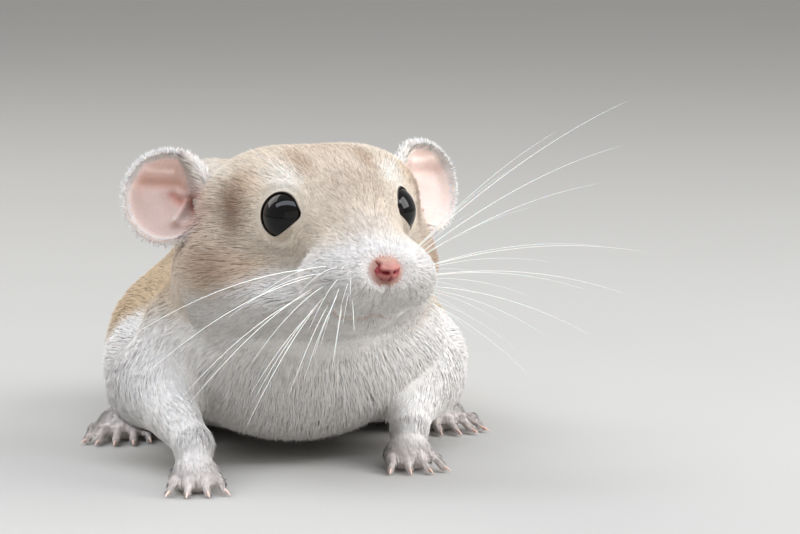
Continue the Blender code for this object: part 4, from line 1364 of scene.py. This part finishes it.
def makeClaws(name, leg, toes, node):
    bm = bmesh.new()
    rings = claw["rings"]
    for start, _, tip, clawTip in toeLines(leg, toes):
        back = tip + (start - tip).normalized() * claw["rooted"]
        rise = (tip + clawTip) / 2 + Vector((0, 0, claw["arch"]))
        path = []
        for step in range(rings + 1):
            share = step / rings
            path.append(back * (1 - share) ** 2 + rise * (2 * share * (1 - share)) + clawTip * share**2)
        radii = [claw["radius"] * (1 - claw["taper"] * step) for step in range(rings)]
        taperedRod(bm, path, radii, claw["corners"])
    finishPiece(rods(name, bm), clawMaterial, [node])


for name in sides:
    ending = name.capitalize()
    makeClaws("foreClaws" + ending, forelegs[name], foreToes, "forepaw_" + name)
    makeClaws("hindClaws" + ending, hindlegs[name], hindToes, "hindfoot_" + name)
print("claws made")


# Stage: a plain pale floor and soft lights, each with its place from the head in metres, its width
# and height, its power and its tint

studio = {
    "floor": "B4B2AE", "floorSize": 8.0, "dome": "F7F7F7", "domeLight": 0.58,
    "lights": [
        ("skyPanel", (-0.05, -0.18, 0.40), (1.0, 0.16), 3.1, "E2EAF6"),
        ("keyPanel", (0.42, -0.12, 0.26), (0.32, 0.32), 2.1, "FFFFFF"),
        ("frontPanel", (0.1, -0.5, 0.0), (0.9, 0.5), 0.55, "FFF9F4"),
        ("backPanel", (-0.30, 0.28, 0.30), (0.3, 0.3), 0.9, "FFFDF8"),
    ],
}


def makeFloor():
    pale = toLinear(studio["floor"])
    board = {"Roughness": 0.8, "IOR": 1.45}
    material = makeMaterial("paleBoard", board, grain=40, detail=3.0, colours=(pale * 0.96, pale))
    bm = bmesh.new()
    bmesh.ops.create_circle(bm, cap_ends=True, segments=96, radius=studio["floorSize"] / 2)
    obj = fromBmesh("floor", bm)
    obj.data.materials.append(material)


def makeWorld():
    # Even light from all round, as under an overcast sky
    world = bpy.data.worlds.new("studioWorld")
    world.use_nodes = True
    background = world.node_tree.nodes["Background"]
    background.inputs["Color"].default_value = (*toLinear(studio["dome"]), 1)
    background.inputs["Strength"].default_value = studio["domeLight"]
    bpy.context.scene.world = world


def makeLights():
    target = toRow @ Vector(animal["headPlace"])
    for name, place, size, power, tint in studio["lights"]:
        data = bpy.data.lights.new(name, "AREA")
        data.shape = "RECTANGLE"
        data.size, data.size_y = size
        data.energy = power
        data.color = toLinear(tint)
        lamp = linked(name, data)
        place = target + Vector(place)
        turn = (target - place).to_track_quat("-Z", "Y")
        lamp.matrix_world = Matrix.Translation(place) @ turn.to_matrix().to_4x4()


# Camera: the photo's view, from the animal's right and a little above its head
view = {
    "turn": -10.0, "rise": 8.0, "distance": 330.0, "right": 6.1, "down": 6.16, "perMm": 9.5,
    "sensor": 36.0, "pixelsWide": 800,
}


def makeCamera():
    turn, rise = math.radians(view["turn"]), math.radians(view["rise"])
    back = Vector((math.sin(turn) * math.cos(rise), -math.cos(turn) * math.cos(rise), math.sin(rise)))
    right = Vector((math.cos(turn), math.sin(turn), 0))
    up = back.cross(right)
    place = Vector(animal["headPlace"]) + right * view["right"] - up * view["down"]
    place = toRow @ (place + back * view["distance"])
    data = bpy.data.cameras.new("camera")
    data.sensor_width = view["sensor"]
    data.lens = view["perMm"] * view["distance"] * view["sensor"] / view["pixelsWide"]
    data.clip_start = 0.01
    camera = linked("camera", data)
    camera.matrix_world = Matrix.Translation(place) @ Matrix((right, up, back)).transposed().to_4x4()
    bpy.context.scene.camera = camera


makeFloor()
makeWorld()
makeLights()
makeCamera()
bpy.context.scene.view_settings.view_transform = "Standard"
print("stage set")
